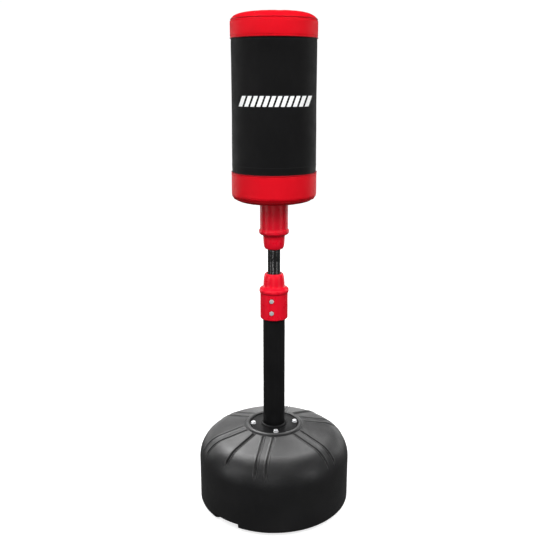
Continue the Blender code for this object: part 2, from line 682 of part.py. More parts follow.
def make_bag(materials):
    core_bottom = UPPER_RIM_Z + COLLAR_STEP + 2 * GAP
    core = tube("bag_core_tube", COLUMN_BORE_R, COLUMN_RADIUS, core_bottom, CORE_TOP_Z, materials["steel"])
    bottom_plate = tube("bag_bottom_plate", COLUMN_RADIUS + GAP, END_PLATE_RADIUS, BOTTOM_PLATE_Z,
                        BOTTOM_PLATE_Z + END_PLATE_THICK, materials["board"])
    plate_z = CORE_TOP_Z + GAP
    outline = [(0, plate_z), (END_PLATE_RADIUS, plate_z), (END_PLATE_RADIUS, plate_z + END_PLATE_THICK)]
    top_plate = turned("bag_top_plate", outline + [(0, plate_z + END_PLATE_THICK)], materials["board"])
    cover = tube("bag_cover", BAG_RADIUS - COVER_THICK, BAG_RADIUS, LOWER_SEAM_Z, UPPER_SEAM_Z,
                 materials["black_vinyl"])
    return core, [bottom_plate, make_foam(materials), top_plate, cover, make_cap_bottom(materials),
                  make_cap_top(materials)]


# --- Assembly ---------------------------------------------------------------------------------------


def group(name, frame, pieces, parent=None):
    """Parents the pieces of one moving body to an empty at its joint, leaving them where they are."""
    empty = bpy.data.objects.new(name, None)
    bpy.context.scene.collection.objects.link(empty)
    empty.empty_display_size = 0.05
    empty.matrix_world = frame
    for piece in pieces:
        piece.parent = empty
        piece.matrix_parent_inverse = frame.inverted()
    if parent:
        empty.parent = parent
        empty.matrix_parent_inverse = parent.matrix_world.inverted()
    return empty


def build():
    clear_scene()
    materials = make_materials()
    shell = make_base_shell(materials)
    flange, spigot = make_flange(materials)
    column = make_column(materials)
    bush = make_clamp_bush(materials)
    cut_nut_pockets(bush, COLLAR_BOLT_AZIMUTHS[0])
    stand = [shell, make_sand(materials), spigot, column, bush] + flange
    stand += make_flange_fasteners(materials, [shell] + flange)
    outline = collar_outline(LOWER_RIM_Z, -1, LOWER_COLLAR_LENGTH)
    heights = [LOWER_RIM_Z - depth for depth in COLLAR_BOLT_DEPTHS]
    stand += make_collar("lower_collar", outline, heights, COLLAR_BOLT_AZIMUTHS[0], materials, [column, bush])
    core, padding = make_bag(materials)
    bag = [core, make_upper_seat(materials)] + padding
    outline = collar_outline(UPPER_RIM_Z, 1, UPPER_COLLAR_LENGTH)
    heights = [UPPER_RIM_Z + depth for depth in COLLAR_BOLT_DEPTHS]
    bag += make_collar("upper_collar", outline, heights, COLLAR_BOLT_AZIMUTHS[1], materials, [core])
    root = group("stand", Matrix(), stand)
    seal = group("fill_seal_lift", fill_frame(), [make_fill_seal(materials)], root)
    group("fill_cap_axis", fill_frame(), [make_fill_cap(materials)], seal)
    pole = group("pole_slide", Matrix.Translation((0, 0, POLE_BOTTOM_Z)), make_pole(materials), root)
    neck = group("fore_aft_pivot", Matrix.Translation((0, 0, FORE_AFT_PIVOT_Z)),
                 [make_spring(materials), make_boot(materials)], pole)
    group("sideways_pivot", Matrix.Translation((0, 0, SIDEWAYS_PIVOT_Z)), bag, neck)


build()
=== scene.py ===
"""Looks of the free-standing punching bag: moulded base, coated column, red collars and padded bag.

Metres, +Z up, front at -Y. An azimuth runs from the front towards the right (+X).
"""

import json
import math

import bmesh
import bpy
import numpy as np
from mathutils import Matrix, Vector, noise
from mathutils.bvhtree import BVHTree

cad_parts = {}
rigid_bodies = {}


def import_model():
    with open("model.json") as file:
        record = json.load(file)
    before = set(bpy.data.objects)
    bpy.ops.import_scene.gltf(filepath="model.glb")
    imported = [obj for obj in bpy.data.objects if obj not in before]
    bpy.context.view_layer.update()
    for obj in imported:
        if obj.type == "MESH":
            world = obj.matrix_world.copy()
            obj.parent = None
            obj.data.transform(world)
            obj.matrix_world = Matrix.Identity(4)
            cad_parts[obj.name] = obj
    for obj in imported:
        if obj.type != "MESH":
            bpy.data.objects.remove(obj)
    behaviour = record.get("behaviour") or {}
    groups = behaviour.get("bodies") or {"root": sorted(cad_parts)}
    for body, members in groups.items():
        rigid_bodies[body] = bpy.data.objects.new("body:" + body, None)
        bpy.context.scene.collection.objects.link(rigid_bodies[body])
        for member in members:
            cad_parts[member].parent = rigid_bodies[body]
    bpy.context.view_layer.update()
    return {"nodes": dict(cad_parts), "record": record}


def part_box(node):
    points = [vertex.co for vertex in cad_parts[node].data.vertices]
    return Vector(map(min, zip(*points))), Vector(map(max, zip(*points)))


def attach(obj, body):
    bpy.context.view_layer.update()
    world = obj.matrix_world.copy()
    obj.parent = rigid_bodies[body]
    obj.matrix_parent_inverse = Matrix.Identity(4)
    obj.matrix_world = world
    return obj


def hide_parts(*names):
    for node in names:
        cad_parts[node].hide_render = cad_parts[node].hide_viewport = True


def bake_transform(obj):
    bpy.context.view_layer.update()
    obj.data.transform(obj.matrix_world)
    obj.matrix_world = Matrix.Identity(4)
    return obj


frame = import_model()

TAU = math.tau

# Base moulding
BASE_SEGMENTS = 1440
FOOT_RADII = (0.050, 0.022)
SHOULDER_RADII = (0.090, 0.0905)
SHOULDER_Z = 0.160
SLOPE = math.radians(14.0)
SEAT_Z = 0.2640
GROOVE_HALF_WIDTH = 0.0030
GROOVE_DEPTH = 0.0034
PAIR_AZIMUTHS = (-10.5, 49.5, 109.5, 169.5, 229.5, 289.5)
PAIR_OFFSET = 0.0165
PAIR_END = 0.246
PAIR_STRENGTH = 0.85
SINGLE_AZIMUTHS = (-40.5, 139.5)
SINGLE_END = 0.238
SINGLE_STRENGTH = 1.35
RECESS_AZIMUTHS = (-39.0, 141.0)
RECESS_HALF_ANGLE = 11.6
RECESS_INNER_RADIUS = 0.214

# Bag envelope
SEAM_STITCH = 0.0048
TOP_EDGE = (0.0283, 0.0281)
BOTTOM_EDGE = (0.0408, 0.0259)
PRINT_BAND = (1.3115, 1.3415)
PRINT_HALF_WIDTH = 0.105
PRINT_BARS = 12
PRINT_SLANT = 0.011
PRINT_SHIFT = 0.0045


# --- Mesh tools --------------------------------------------


def add_object(name, verts, faces, material=None, sharp=35.0):
    mesh = bpy.data.meshes.new(name)
    mesh.from_pydata(np.asarray(verts).tolist(), [], faces)
    mesh.validate()
    shade(mesh, sharp)
    obj = bpy.data.objects.new(name, mesh)
    bpy.context.scene.collection.objects.link(obj)
    if material:
        mesh.materials.append(material)
    return obj


def shade(mesh, sharp):
    """Smooth shading, with edges sharper than an angle in degrees kept sharp."""
    mesh.shade_smooth()
    mesh.set_sharp_from_angle(angle=math.radians(sharp))


def grid_faces(rows, cols, wrap_cols=True, wrap_rows=False, start=0):
    """Quads of a grid of vertices, numbered row by row."""
    row = np.arange(rows if wrap_rows else rows - 1)[:, None]
    col = np.arange(cols if wrap_cols else cols - 1)[None, :]
    up = (row + 1) % rows
    right = (col + 1) % cols
    quads = np.stack([row * cols + col, row * cols + right, up * cols + right, up * cols + col], axis=-1)
    return (quads.reshape(-1, 4) + start).tolist()


def fan(start, count, centre, flip=False):
    """Triangles from a ring of vertices, numbered from start, to one centre vertex."""
    ring = list(range(start, start + count))
    faces = [[a, b, centre] for a, b in zip(ring, ring[1:] + ring[:1])]
    return [face[::-1] for face in faces] if flip else faces


def mesh_points(mesh):
    coords = np.empty(len(mesh.vertices) * 3)
    mesh.vertices.foreach_get("co", coords)
    return coords.reshape(-1, 3)


def ring_points(radius, height, azimuth):
    return np.stack([radius * np.sin(azimuth), -radius * np.cos(azimuth), height], axis=-1)


def lathe(name, outline, material, segments=128, warp=None, closed=False, sharp=35.0):
    """Turns (radius, height) points, bottom to top on the outside; a warp moves the turned surface.

    A point on the axis at either end closes the form there; closed joins the last point to the first.
    """
    first, last = int(outline[0][0] <= 0), int(outline[-1][0] <= 0)
    body = np.array(outline[first:len(outline) - last], float)
    azimuth = np.arange(segments) * TAU / segments
    theta, radius = np.meshgrid(azimuth, body[:, 0])
    height = np.repeat(body[:, 1][:, None], segments, axis=1)
    if warp:
        radius, height = warp(theta, radius, height)
    verts = ring_points(radius, height, theta).reshape(-1, 3)
    rows = len(body)
    faces = grid_faces(rows, segments, wrap_rows=closed)
    if first:
        verts = np.vstack([verts, [0, 0, outline[0][1]]])
        faces += fan(0, segments, len(verts) - 1, flip=True)
    if last:
        verts = np.vstack([verts, [0, 0, outline[-1][1]]])
        faces += fan((rows - 1) * segments, segments, len(verts) - 1)
    return add_object(name, verts, faces, material, sharp)


def rounded(points, radius, steps=5):
    """An open outline with its inner corners rounded by about radius."""
    points = [np.array(point, float) for point in points]
    result = [points[0]]
    for before, corner, after in zip(points, points[1:], points[2:]):
        to_before, to_after = before - corner, after - corner
        reach = min(radius, 0.45 * np.linalg.norm(to_before), 0.45 * np.linalg.norm(to_after))
        start = corner + to_before / np.linalg.norm(to_before) * reach
        end = corner + to_after / np.linalg.norm(to_after) * reach
        for step in range(steps + 1):
            share = step / steps
            result.append((1 - share) ** 2 * start + 2 * share * (1 - share) * corner + share ** 2 * end)
    result.append(points[-1])
    return [tuple(point) for point in result]


def arc(centre, radii, start, end, steps):
    angles = np.radians(np.linspace(start, end, steps + 1))
    return [(centre[0] + radii[0] * math.cos(a), centre[1] + radii[1] * math.sin(a)) for a in angles]


def smooth(value, low, high):
    share = np.clip((value - low) / (high - low), 0.0, 1.0)
    return share * share * (3 - 2 * share)


def facing(azimuth, radius, height):
    """A frame at an azimuth in radians whose Z axis runs outwards, level, and whose Y axis runs up."""
    place = Matrix.Translation((radius * math.sin(azimuth), -radius * math.cos(azimuth), height))
    return place @ Matrix.Rotation(azimuth, 4, "Z") @ Matrix.Rotation(math.radians(90), 4, "X")


def tube_ring(name, points, normals, radius, material, sides=10):
    """A round cord along a closed line of points; normals point away from the surface that it lies on."""
    points, normals = np.asarray(points), np.asarray(normals)
    along = np.roll(points, -1, axis=0) - np.roll(points, 1, axis=0)
    along /= np.linalg.norm(along, axis=1)[:, None]
    across = np.cross(along, normals)
    turn = np.arange(sides) * TAU / sides
    verts = (points[:, None, :] + radius * (np.cos(turn)[None, :, None] * normals[:, None, :]
                                            + np.sin(turn)[None, :, None] * across[:, None, :]))
    faces = grid_faces(len(points), sides, wrap_rows=True)
    return add_object(name, verts.reshape(-1, 3), [face[::-1] for face in faces], material)


# --- Materials ---------------------------------------------


class Paint:
    """A Principled material with helpers that add texture nodes in the piece's own coordinates."""

    def __init__(self, name, roughness, metallic=0.0, specular=0.5):
        self.material = bpy.data.materials.new(name)
        self.material.use_nodes = True
        self.tree = self.material.node_tree
        self.shader = self.tree.nodes["Principled BSDF"]
        self.fill(self.shader, {"Roughness": roughness, "Metallic": metallic, "Specular IOR Level": specular})
        self.place = self.node("TexCoord", "Object", {})
        self.height = None

    def fill(self, node, values):
        """Gives each named socket its constant or its link."""
        for name, value in values.items():
            if isinstance(value, bpy.types.NodeSocket):
                self.tree.links.new(value, node.inputs[name])
            else:
                node.inputs[name].default_value = value
        return self

    def node(self, kind, output, values, **options):
        node = self.tree.nodes.new("ShaderNode" + kind)
        for name, value in options.items():
            setattr(node, name, value)
        self.fill(node, values)
        return node.outputs[output]

    def noise(self, scale, detail=3.0, roughness=0.5, stretch=None):
        vector = self.place
        if stretch:
            vector = self.node("Mapping", "Vector", {"Scale": stretch, "Vector": self.place})
        values = {"Scale": scale, "Detail": detail, "Roughness": roughness, "Vector": vector}
        return self.node("TexNoise", "Fac", values)

    def cells(self, scale, feature="F1"):
        return self.node("TexVoronoi", "Distance", {"Scale": scale, "Vector": self.place}, feature=feature)

    def ramp(self, value, low, high, start=0.0, end=1.0):
        values = {"From Min": low, "From Max": high, "To Min": start, "To Max": end, "Value": value}
        return self.node("MapRange", "Result", values)

    def uneven(self, scale, detail, start, end):
        """A noise that runs from start to end."""
        return self.ramp(self.noise(scale, detail), 0.3, 0.7, start, end)

    def product(self, first, second):
        return self.node("Math", "Value", {0: first, 1: second}, operation="MULTIPLY")

    def blend(self, share, first, second):
        first, second = [(*c, 1.0) if isinstance(c, tuple) else c for c in (first, second)]
        return self.node("Mix", 2, {"Factor": share, 6: first, 7: second}, data_type="RGBA")

    def upward(self):
        """How far the surface faces up, from -1 to 1."""
        return self.node("SeparateXYZ", "Z", {"Vector": self.node("NewGeometry", "Normal", {})})

    def colour(self, source):
        return self.fill(self.shader, {"Base Color": source})

    def roughness(self, source):
        return self.fill(self.shader, {"Roughness": source})

    def bump(self, height, distance, strength=1.0):
        values = {"Strength": strength, "Distance": distance, "Height": height}
        if self.height:
            values["Normal"] = self.height
        self.height = self.node("Bump", "Normal", values)
        return self.fill(self.shader, {"Normal": self.height})


def moulded_black():
    """Blow-moulded polyethylene: fine leathery grain, faint scuffs, a little dust where it faces up."""
    paint = Paint("moulded_black", 0.42, specular=0.50)
    patches = paint.noise(7.0, 4.0)
    scuffs = paint.ramp(paint.noise(60.0, 6.0, 0.7, (1.0, 1.0, 0.25)), 0.60, 0.78)
    shade = paint.blend(paint.ramp(patches, 0.35, 0.7), (0.0075, 0.0075, 0.0080), (0.0125, 0.0125, 0.0130))
    settled = paint.ramp(patches, 0.4, 0.75, 0.1, 0.5)
    dust = paint.product(paint.ramp(paint.upward(), 0.55, 1.0), settled)
    worn = paint.product(scuffs, 0.25)
    shade = paint.blend(paint.product(dust, 0.30), shade, (0.10, 0.10, 0.098))
    paint.colour(paint.blend(worn, shade, (0.030, 0.030, 0.031)))
    paint.roughness(paint.uneven(22.0, 5.0, 0.34, 0.46))
    paint.bump(paint.ramp(paint.cells(520.0, "DISTANCE_TO_EDGE"), 0.0, 0.35), 0.00016, 0.55)
    return paint.bump(paint.noise(900.0, 2.0), 0.00008, 0.5).material


def powder_black(name, dull, specular):
    """Powder coat on steel: orange peel, faint vertical rub marks."""
    paint = Paint(name, dull, specular=specular)
    patches = paint.noise(9.0, 3.0)
    rubbed = paint.ramp(paint.noise(70.0, 5.0, 0.65, (1.0, 1.0, 0.05)), 0.58, 0.80, 0.0, 0.35)
    shade = paint.blend(paint.ramp(patches, 0.3, 0.7), (0.0050, 0.0050, 0.0054), (0.0090, 0.0090, 0.0094))
    paint.colour(paint.blend(rubbed, shade, (0.022, 0.022, 0.023)))
    paint.roughness(paint.uneven(30.0, 4.0, dull - 0.06, dull + 0.08))
    return paint.bump(paint.noise(420.0, 2.0), 0.00022, 0.35).material


def glossy_red():
    """Injection-moulded red plastic: slight flow marks, fine scratches and a soft gloss."""
    paint = Paint("moulded_red", 0.30, specular=0.24)
    flow = paint.ramp(paint.noise(14.0, 3.0, 0.5, (1.0, 1.0, 0.4)), 0.3, 0.7)
    shade = paint.blend(flow, (0.80, 0.0030, 0.0190), (0.92, 0.0050, 0.0250))
    scratches = paint.ramp(paint.noise(240.0, 4.0, 0.7, (1.0, 1.0, 0.06)), 0.66, 0.82, 0.0, 0.12)
    paint.colour(paint.blend(scratches, shade, (0.90, 0.10, 0.12)))
    paint.roughness(paint.uneven(45.0, 4.0, 0.24, 0.38))
    return paint.bump(paint.noise(500.0, 2.0), 0.00010, 0.3).material


def leatherette(name, dark, light, gloss, specular):
    """Coated vinyl: pebbled grain, soft creases and uneven sheen."""
    paint = Paint(name, 0.5, specular=specular)
    patches = paint.ramp(paint.noise(5.0, 4.0), 0.32, 0.68)
    shade = paint.blend(patches, dark, light)
    pebbles = paint.cells(620.0, "DISTANCE_TO_EDGE")
    valleys = paint.ramp(pebbles, 0.0, 0.12, 0.55, 0.0)
    deep = tuple(0.55 * value for value in dark)
    paint.colour(paint.blend(valleys, shade, deep))
    paint.roughness(paint.uneven(26.0, 5.0, gloss, gloss + 0.12))
    paint.bump(paint.ramp(pebbles, 0.0, 0.30), 0.00022, 0.6)
    paint.bump(paint.noise(95.0, 4.0, 0.6), 0.00045, 0.30)
    return paint.bump(paint.noise(1500.0, 2.0), 0.00005, 0.4).material


def thread_material(name, colour):
    """Twisted sewing thread."""
    paint = Paint(name, 0.75, specular=0.2)
    paint.colour(paint.blend(paint.noise(900.0), tuple(0.6 * value for value in colour), colour))
    return paint.bump(paint.noise(2500.0, 1.0), 0.0001, 0.6).material


def print_white():
    """Screen print on vinyl: thin, slightly uneven ink over the pebbled grain."""
    paint = Paint("print_white", 0.55, specular=0.3)
    pebbles = paint.cells(620.0, "DISTANCE_TO_EDGE")
    thin = paint.product(paint.ramp(paint.noise(160.0, 5.0, 0.7), 0.55, 0.75), 0.35)
    ink = paint.blend(paint.ramp(pebbles, 0.0, 0.10, 0.20, 0.0), (0.97, 0.97, 0.97), (0.70, 0.70, 0.70))
    paint.colour(paint.blend(thin, ink, (0.78, 0.78, 0.78)))
    return paint.bump(paint.ramp(pebbles, 0.0, 0.30), 0.00018, 0.5).material


def zinc_plate():
    """Bright zinc plate: fine brushing, cloudy passivation, darker specks."""
    paint = Paint("zinc_plate", 0.28, metallic=0.55)
    cloud = paint.ramp(paint.noise(160.0, 4.0), 0.3, 0.7)
    specks = paint.ramp(paint.noise(1400.0, 3.0, 0.7), 0.68, 0.80, 0.0, 0.6)
    shade = paint.blend(cloud, (0.74, 0.75, 0.77), (0.92, 0.92, 0.93))
    paint.colour(paint.blend(specks, shade, (0.25, 0.25, 0.26)))
    paint.roughness(paint.uneven(500.0, 3.0, 0.26, 0.44))
    return paint.bump(paint.noise(1600.0, 2.0, 0.5, (1.0, 1.0, 0.1)), 0.00004, 0.5).material


def spring_wire():
    paint = Paint("spring_wire", 0.35, metallic=1.0)
    paint.colour(paint.blend(paint.noise(220.0, 4.0), (0.20, 0.19, 0.18), (0.42, 0.42, 0.42)))
    paint.roughness(paint.uneven(120.0, 3.0, 0.28, 0.5))
    return paint.bump(paint.noise(800.0, 2.0), 0.00006, 0.5).material


def rubber(name, tone, gloss):
    """Moulded rubber with a faint bloom."""
    paint = Paint(name, 0.5, specular=1.0 if gloss < 0.3 else 0.3)
    bloom = paint.ramp(paint.noise(40.0, 5.0), 0.45, 0.8)
    paint.colour(paint.blend(bloom, (tone, tone, tone), (2.2 * tone, 2.2 * tone, 2.3 * tone)))
    paint.roughness(paint.uneven(60.0, 3.0, gloss, gloss + 0.14))
    return paint.bump(paint.noise(1100.0, 2.0), 0.00006, 0.4).material


def nylon():
    paint = Paint("nylon", 0.45, specular=0.4)
    paint.colour(paint.blend(paint.noise(30.0, 3.0), (0.62, 0.61, 0.56), (0.74, 0.73, 0.69)))
    return paint.bump(paint.noise(300.0, 3.0, 0.5, (1.0, 1.0, 0.05)), 0.0001, 0.4).material


def sand():
    paint = Paint("ballast_sand", 0.95, specular=0.1)
    paint.colour(paint.blend(paint.noise(700.0, 2.0), (0.30, 0.22, 0.13), (0.66, 0.54, 0.36)))
    return paint.bump(paint.cells(900.0), 0.0006, 0.9).material


def textile_filling():
    paint = Paint("textile_filling", 0.95, specular=0.1)
    paint.colour(paint.blend(paint.cells(60.0), (0.30, 0.33, 0.42), (0.68, 0.66, 0.62)))
    return paint.bump(paint.noise(160.0, 6.0, 0.7), 0.002, 0.8).material


def plywood():
    paint = Paint("plywood", 0.62, specular=0.25)
    grain = paint.noise(30.0, 5.0, 0.6, (1.0, 12.0, 1.0))
    layers = paint.ramp(paint.noise(60.0, 1.0, 0.5, (0.05, 0.05, 8.0)), 0.4, 0.6)
    shade = paint.blend(grain, (0.42, 0.26, 0.13), (0.62, 0.44, 0.26))
    paint.colour(paint.blend(paint.product(layers, 0.4), shade, (0.26, 0.15, 0.07)))
    return paint.bump(grain, 0.0003, 0.4).material


def floor_paint():
    """A pale floor that glows a little, more so far out, so that it meets the pale world unseen."""
    paint = Paint("pale_floor", 0.9, specular=0.0)
    paint.colour(paint.blend(paint.noise(0.8, 2.0), (0.56, 0.56, 0.56), (0.58, 0.58, 0.58)))
    away = paint.node("VectorMath", "Value", {0: paint.place}, operation="LENGTH")
    glow = paint.ramp(away, 0.3, 2.5, 0.74, 1.02)
    white = (1.0, 1.0, 1.0, 1.0)
    return paint.fill(paint.shader, {"Emission Color": white, "Emission Strength": glow}).material


MOULDED_BLACK = moulded_black()
POWDER = powder_black("powder_black", 0.46, 0.14)
POWDER_FLANGE = powder_black("powder_black_flange", 0.38, 0.10)
GLOSS_RED = glossy_red()
VINYL_RED = leatherette("vinyl_red", (0.72, 0.0024, 0.0110), (0.82, 0.0045, 0.0160), 0.38, 0.08)
VINYL_BLACK = leatherette("vinyl_black", (0.0056, 0.0056, 0.0058), (0.0085, 0.0085, 0.0089), 0.46, 0.085)
# The piping is real, but its red is the vinyl red darkened: painted shade for the dark line that the seams'
# shadow draws
SHADED_WELT_RED = leatherette("welt_red", (0.44, 0.0030, 0.0090), (0.54, 0.0045, 0.0120), 0.38, 0.12)
THREAD_RED = thread_material("thread_red", (0.55, 0.006, 0.012))
THREAD_BLACK = thread_material("thread_black", (0.030, 0.030, 0.031))
PRINT = print_white()
ZINC = zinc_plate()
BOOT = rubber("boot_rubber", 0.0060, 0.06)
SEAL = rubber("seal_rubber", 0.012, 0.55)

SLOT_MATERIALS = {
    "base_plastic": MOULDED_BLACK, "sand_fill": sand(), "seal_rubber": SEAL, "boot_rubber": BOOT,
    "black_steel": POWDER, "bush_nylon": nylon(), "zinc_steel": ZINC, "spring_steel": spring_wire(),
    "red_plastic": GLOSS_RED, "bag_filling": textile_filling(), "plywood": plywood(),
    "black_cover": VINYL_BLACK, "red_cover": VINYL_RED,
}


def finish_piece(obj, body, slot, *nodes, place=None):
    """Puts a piece in its place, fixes it to its body and hides the CAD nodes that it replaces; its slot is
    not used.
    """
    if place:
        obj.matrix_world = place
    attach(obj, body)
    if nodes:
        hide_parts(*nodes)
    return obj


def paint_frame():
    """Every CAD node gets the procedural material of its slot."""
    slots = {part["node"]: part["material_slot"] for part in frame["record"]["subparts"]}
    for name, node in frame["nodes"].items():
        node.data.materials.clear()
        node.data.materials.append(SLOT_MATERIALS[slots[name]])


# --- Base --------------------------------------------------


BASE_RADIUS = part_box("base_shell")[1].x
TURN_OFF = math.atan2(SHOULDER_RADII[1], SHOULDER_RADII[0] * math.tan(SLOPE))
EDGE_R = BASE_RADIUS - SHOULDER_RADII[0] * (1 - math.cos(TURN_OFF))
EDGE_Z = SHOULDER_Z + SHOULDER_RADII[1] * math.sin(TURN_OFF)
RECESS_TOP = 0.027
FILL_RADIUS = 0.150
FILL_OPENING = 0.0235


def slope_z(radius):
    return EDGE_Z + (EDGE_R - radius) * math.tan(SLOPE)


def base_outline():
    foot_centre = (BASE_RADIUS - FOOT_RADII[0], FOOT_RADII[1])
    points = [(0, 0), (0.06, 0), (0.13, 0), (0.18, 0), (RECESS_INNER_RADIUS - 0.016, 0)]
    points += arc(foot_centre, FOOT_RADII, -90, 0, 18)
    points += [(BASE_RADIUS, RECESS_TOP - 0.0008), (BASE_RADIUS, RECESS_TOP + 0.0006)]
    points += [(BASE_RADIUS, z) for z in (0.030, 0.050, 0.075, 0.100, 0.125, 0.145)]
    shoulder_centre = (BASE_RADIUS - SHOULDER_RADII[0], SHOULDER_Z)
    points += arc(shoulder_centre, SHOULDER_RADII, 0, math.degrees(TURN_OFF), 34)
    points += [(r, slope_z(r)) for r in np.linspace(EDGE_R, 0.0995, 26)[1:]]
    lip = slope_z(0.0965)
    points += [(0.0986, slope_z(0.0986) - 0.0009), (0.0978, lip - 0.0016), (0.0971, lip - 0.0012)]
    points += rounded([(0.0964, lip + 0.0006), (0.0945, 0.2722), (0.0920, 0.2743), (0.0880, 0.2756),
                       (0.0845, 0.2750), (0.0820, 0.2732), (0.0807, 0.2705), (0.0805, SEAT_Z)], 0.0018, 4)
    return points + [(0.060, SEAT_Z), (0.028, SEAT_Z), (0, SEAT_Z)]


def groove_depth(theta, radius):
    """Depth of the moulded lines on the top of the base."""
    depth = np.zeros_like(radius)
    lines = [(azimuth, PAIR_OFFSET, PAIR_END, PAIR_STRENGTH) for azimuth in PAIR_AZIMUTHS]
    lines += [(azimuth, 0.0, SINGLE_END, SINGLE_STRENGTH) for azimuth in SINGLE_AZIMUTHS]
    for azimuth, offset, end, strength in lines:
        turn = theta - math.radians(azimuth)
        across = np.abs(np.abs(radius * np.sin(turn)) - offset)
        along = radius * np.cos(turn)
        shape = np.clip(1 - (across / GROOVE_HALF_WIDTH) ** 2, 0, 1) ** 1.5
        lips = 0.42 * np.exp(-((across - 1.8 * GROOVE_HALF_WIDTH) / (0.65 * GROOVE_HALF_WIDTH)) ** 2)
        fade = smooth(along, 0.0985, 0.1015) * (1 - smooth(along, end - 0.012, end))
        depth += GROOVE_DEPTH * strength * (shape - lips) * fade * (along > 0)
    return depth


def base_warp(theta, radius, height):
    rise = np.gradient(height[:, 0])
    run = np.gradient(radius[:, 0])
    length = np.hypot(rise, run) + 1e-12
    out_r, out_z = (rise / length)[:, None], (-run / length)[:, None]
    depth = groove_depth(theta, radius) * (height > 0.19)
    new_radius = radius - depth * out_r
    new_height = height - depth * out_z
    # A little unevenness, as blow moulding leaves
    wave = 0.00035 * np.sin(3 * theta + 9 * height) + 0.00025 * np.sin(7 * theta - 14 * height + 1.3)
    new_radius = new_radius - np.abs(wave) * (height > 0.005) * (radius > 0.11)
    for azimuth in RECESS_AZIMUTHS:
        turn = np.degrees(np.angle(np.exp(1j * (theta - math.radians(azimuth)))))
        inside = (np.abs(turn) < RECESS_HALF_ANGLE) & (height < RECESS_TOP)
        inside &= radius > RECESS_INNER_RADIUS - 0.015
        level = RECESS_TOP * smooth(radius, RECESS_INNER_RADIUS, 0.2495)
        new_radius = np.where(inside, np.minimum(new_radius, RECESS_INNER_RADIUS), new_radius)
        new_height = np.where(inside, level, new_height)
    return new_radius, new_height


def fill_frame():
    """The frame of the fill opening, from the cap's place on the slope."""
    low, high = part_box("fill_cap_seal")
    foot = Vector(((low.x + high.x) / 2, FILL_RADIUS, slope_z(FILL_RADIUS)))
    return Matrix.Translation(foot) @ Matrix.Rotation(-SLOPE, 4, "X")


def make_base():
    base = lathe("base_body", base_outline(), MOULDED_BLACK, BASE_SEGMENTS, base_warp, sharp=50.0)
    place = fill_frame()
    to_local = place.inverted()
    local = mesh_points(base.data) @ np.array(to_local.to_3x3()).T + np.array(to_local.translation)
    opening = (np.hypot(local[:, 0], local[:, 1]) < FILL_OPENING) & (np.abs(local[:, 2]) < 0.02)
    remove_vertices(base, opening)
    finish_piece(base, "stand", "base_plastic", "base_shell")
    outline = rounded([(0.0220, -0.012), (0.0236, -0.012), (0.0238, -0.004), (0.0345, -0.003),
                       (0.0330, 0.0006), (0.0306, 0.0020), (0.0300, 0.0040), (0.0226, 0.0040),
                       (0.0220, 0.0030), (0.0220, -0.0118)], 0.0008, 3)
    finish_piece(lathe("fill_boss", outline, MOULDED_BLACK, 96), "stand", "base_plastic", place=place)


def remove_vertices(obj, mask):
    mesh = obj.data
    keep = ~mask
    index = np.cumsum(keep) - 1
    verts = mesh_points(mesh)[keep]
    kept = [face.vertices for face in mesh.polygons if all(keep[v] for v in face.vertices)]
    faces = [[int(index[v]) for v in corners] for corners in kept]
    fresh = bpy.data.meshes.new(mesh.name)
    fresh.from_pydata(verts.tolist(), [], faces)
    shade(fresh, 50)
    fresh.materials.append(mesh.materials[0])
    obj.data = fresh
    bpy.data.meshes.remove(mesh)


def make_fill_cap():
    place = fill_frame()
    under = 0.0064
    top = under + 0.006

    def knurl(theta, radius, height):
        edge = (radius > 0.0302) & (height > under - 0.0005)
        return radius - 0.0006 * edge * (0.5 + 0.5 * np.cos(48 * theta)), height

    outline = [(0, -0.010), (0.0190, -0.010), (0.0208, -0.0085)]
    for turn in range(6):
        z = -0.0078 + 0.0021 * turn
        outline += [(0.0212, z + 0.0004), (0.0212, z + 0.0009), (0.0204, z + 0.0014), (0.0204, z + 0.0019)]
    outline += [(0.0212, under), (0.0309, under), (0.0310, under + 0.0008), (0.0310, top - 0.0016)]
    outline += [(0.0304, top - 0.0005), (0.0292, top), (0.0270, top), (0.0262, top - 0.0006)]
    outline += [(0.0240, top - 0.0006), (0.0232, top), (0, top)]
    cap = lathe("fill_cap_body", outline, MOULDED_BLACK, 288, knurl)
    finish_piece(cap, "fill_cap", "base_plastic", "fill_cap", place=place)
    grip = rounded_box("fill_cap_bar", (0.044, 0.009, 0.0105), 0.0026, MOULDED_BLACK)
    on_top = place @ Matrix.Translation((0, 0, top + 0.0045))
    finish_piece(grip, "fill_cap", "base_plastic", place=on_top)
    low, middle, high = 0.0043, 0.0052, 0.0061
    ring = rounded([(0.0228, low), (0.0282, low), (0.0286, middle), (0.0282, high), (0.0228, high),
                    (0.0226, middle)], 0.0004, 3)
    seal = lathe("fill_cap_gasket", ring, SEAL, 96, closed=True)
    finish_piece(seal, "fill_seal", "seal_rubber", "fill_cap_seal", place=place)


def rounded_box(name, size, radius, material, steps=4):
    """A box with all its edges rounded and its sides slightly drawn in towards the top."""
    half = np.array(size) / 2
    bends = [extent - radius + radius * np.sin(np.linspace(0, math.pi / 2, steps + 1)) for extent in half]
    lines = [np.concatenate([-bend[::-1], [0.0], bend]) for bend in bends]
    verts, faces = [], []
    for axis in range(3):
        first, second = [i for i in range(3) if i != axis]
        for sign in (-1, 1):
            start = len(verts)
            for u in lines[first]:
                for v in lines[second]:
                    point = np.zeros(3)
                    point[first], point[second], point[axis] = u, v, sign * half[axis]
                    inner = np.clip(point, -(half - radius), half - radius)
                    away = point - inner
                    norm = np.linalg.norm(away)
                    point = inner + away / norm * radius if norm > 1e-12 else point
                    point[:2] *= 1 - 0.06 * (point[2] / half[2] + 1) / 2
                    verts.append(point)
            quads = grid_faces(len(lines[first]), len(lines[second]), wrap_cols=False, start=start)
            faces += quads if (sign > 0) == (axis == 1) else [quad[::-1] for quad in quads]
    obj = add_object(name, verts, faces, material)
    weld(obj)
    return obj


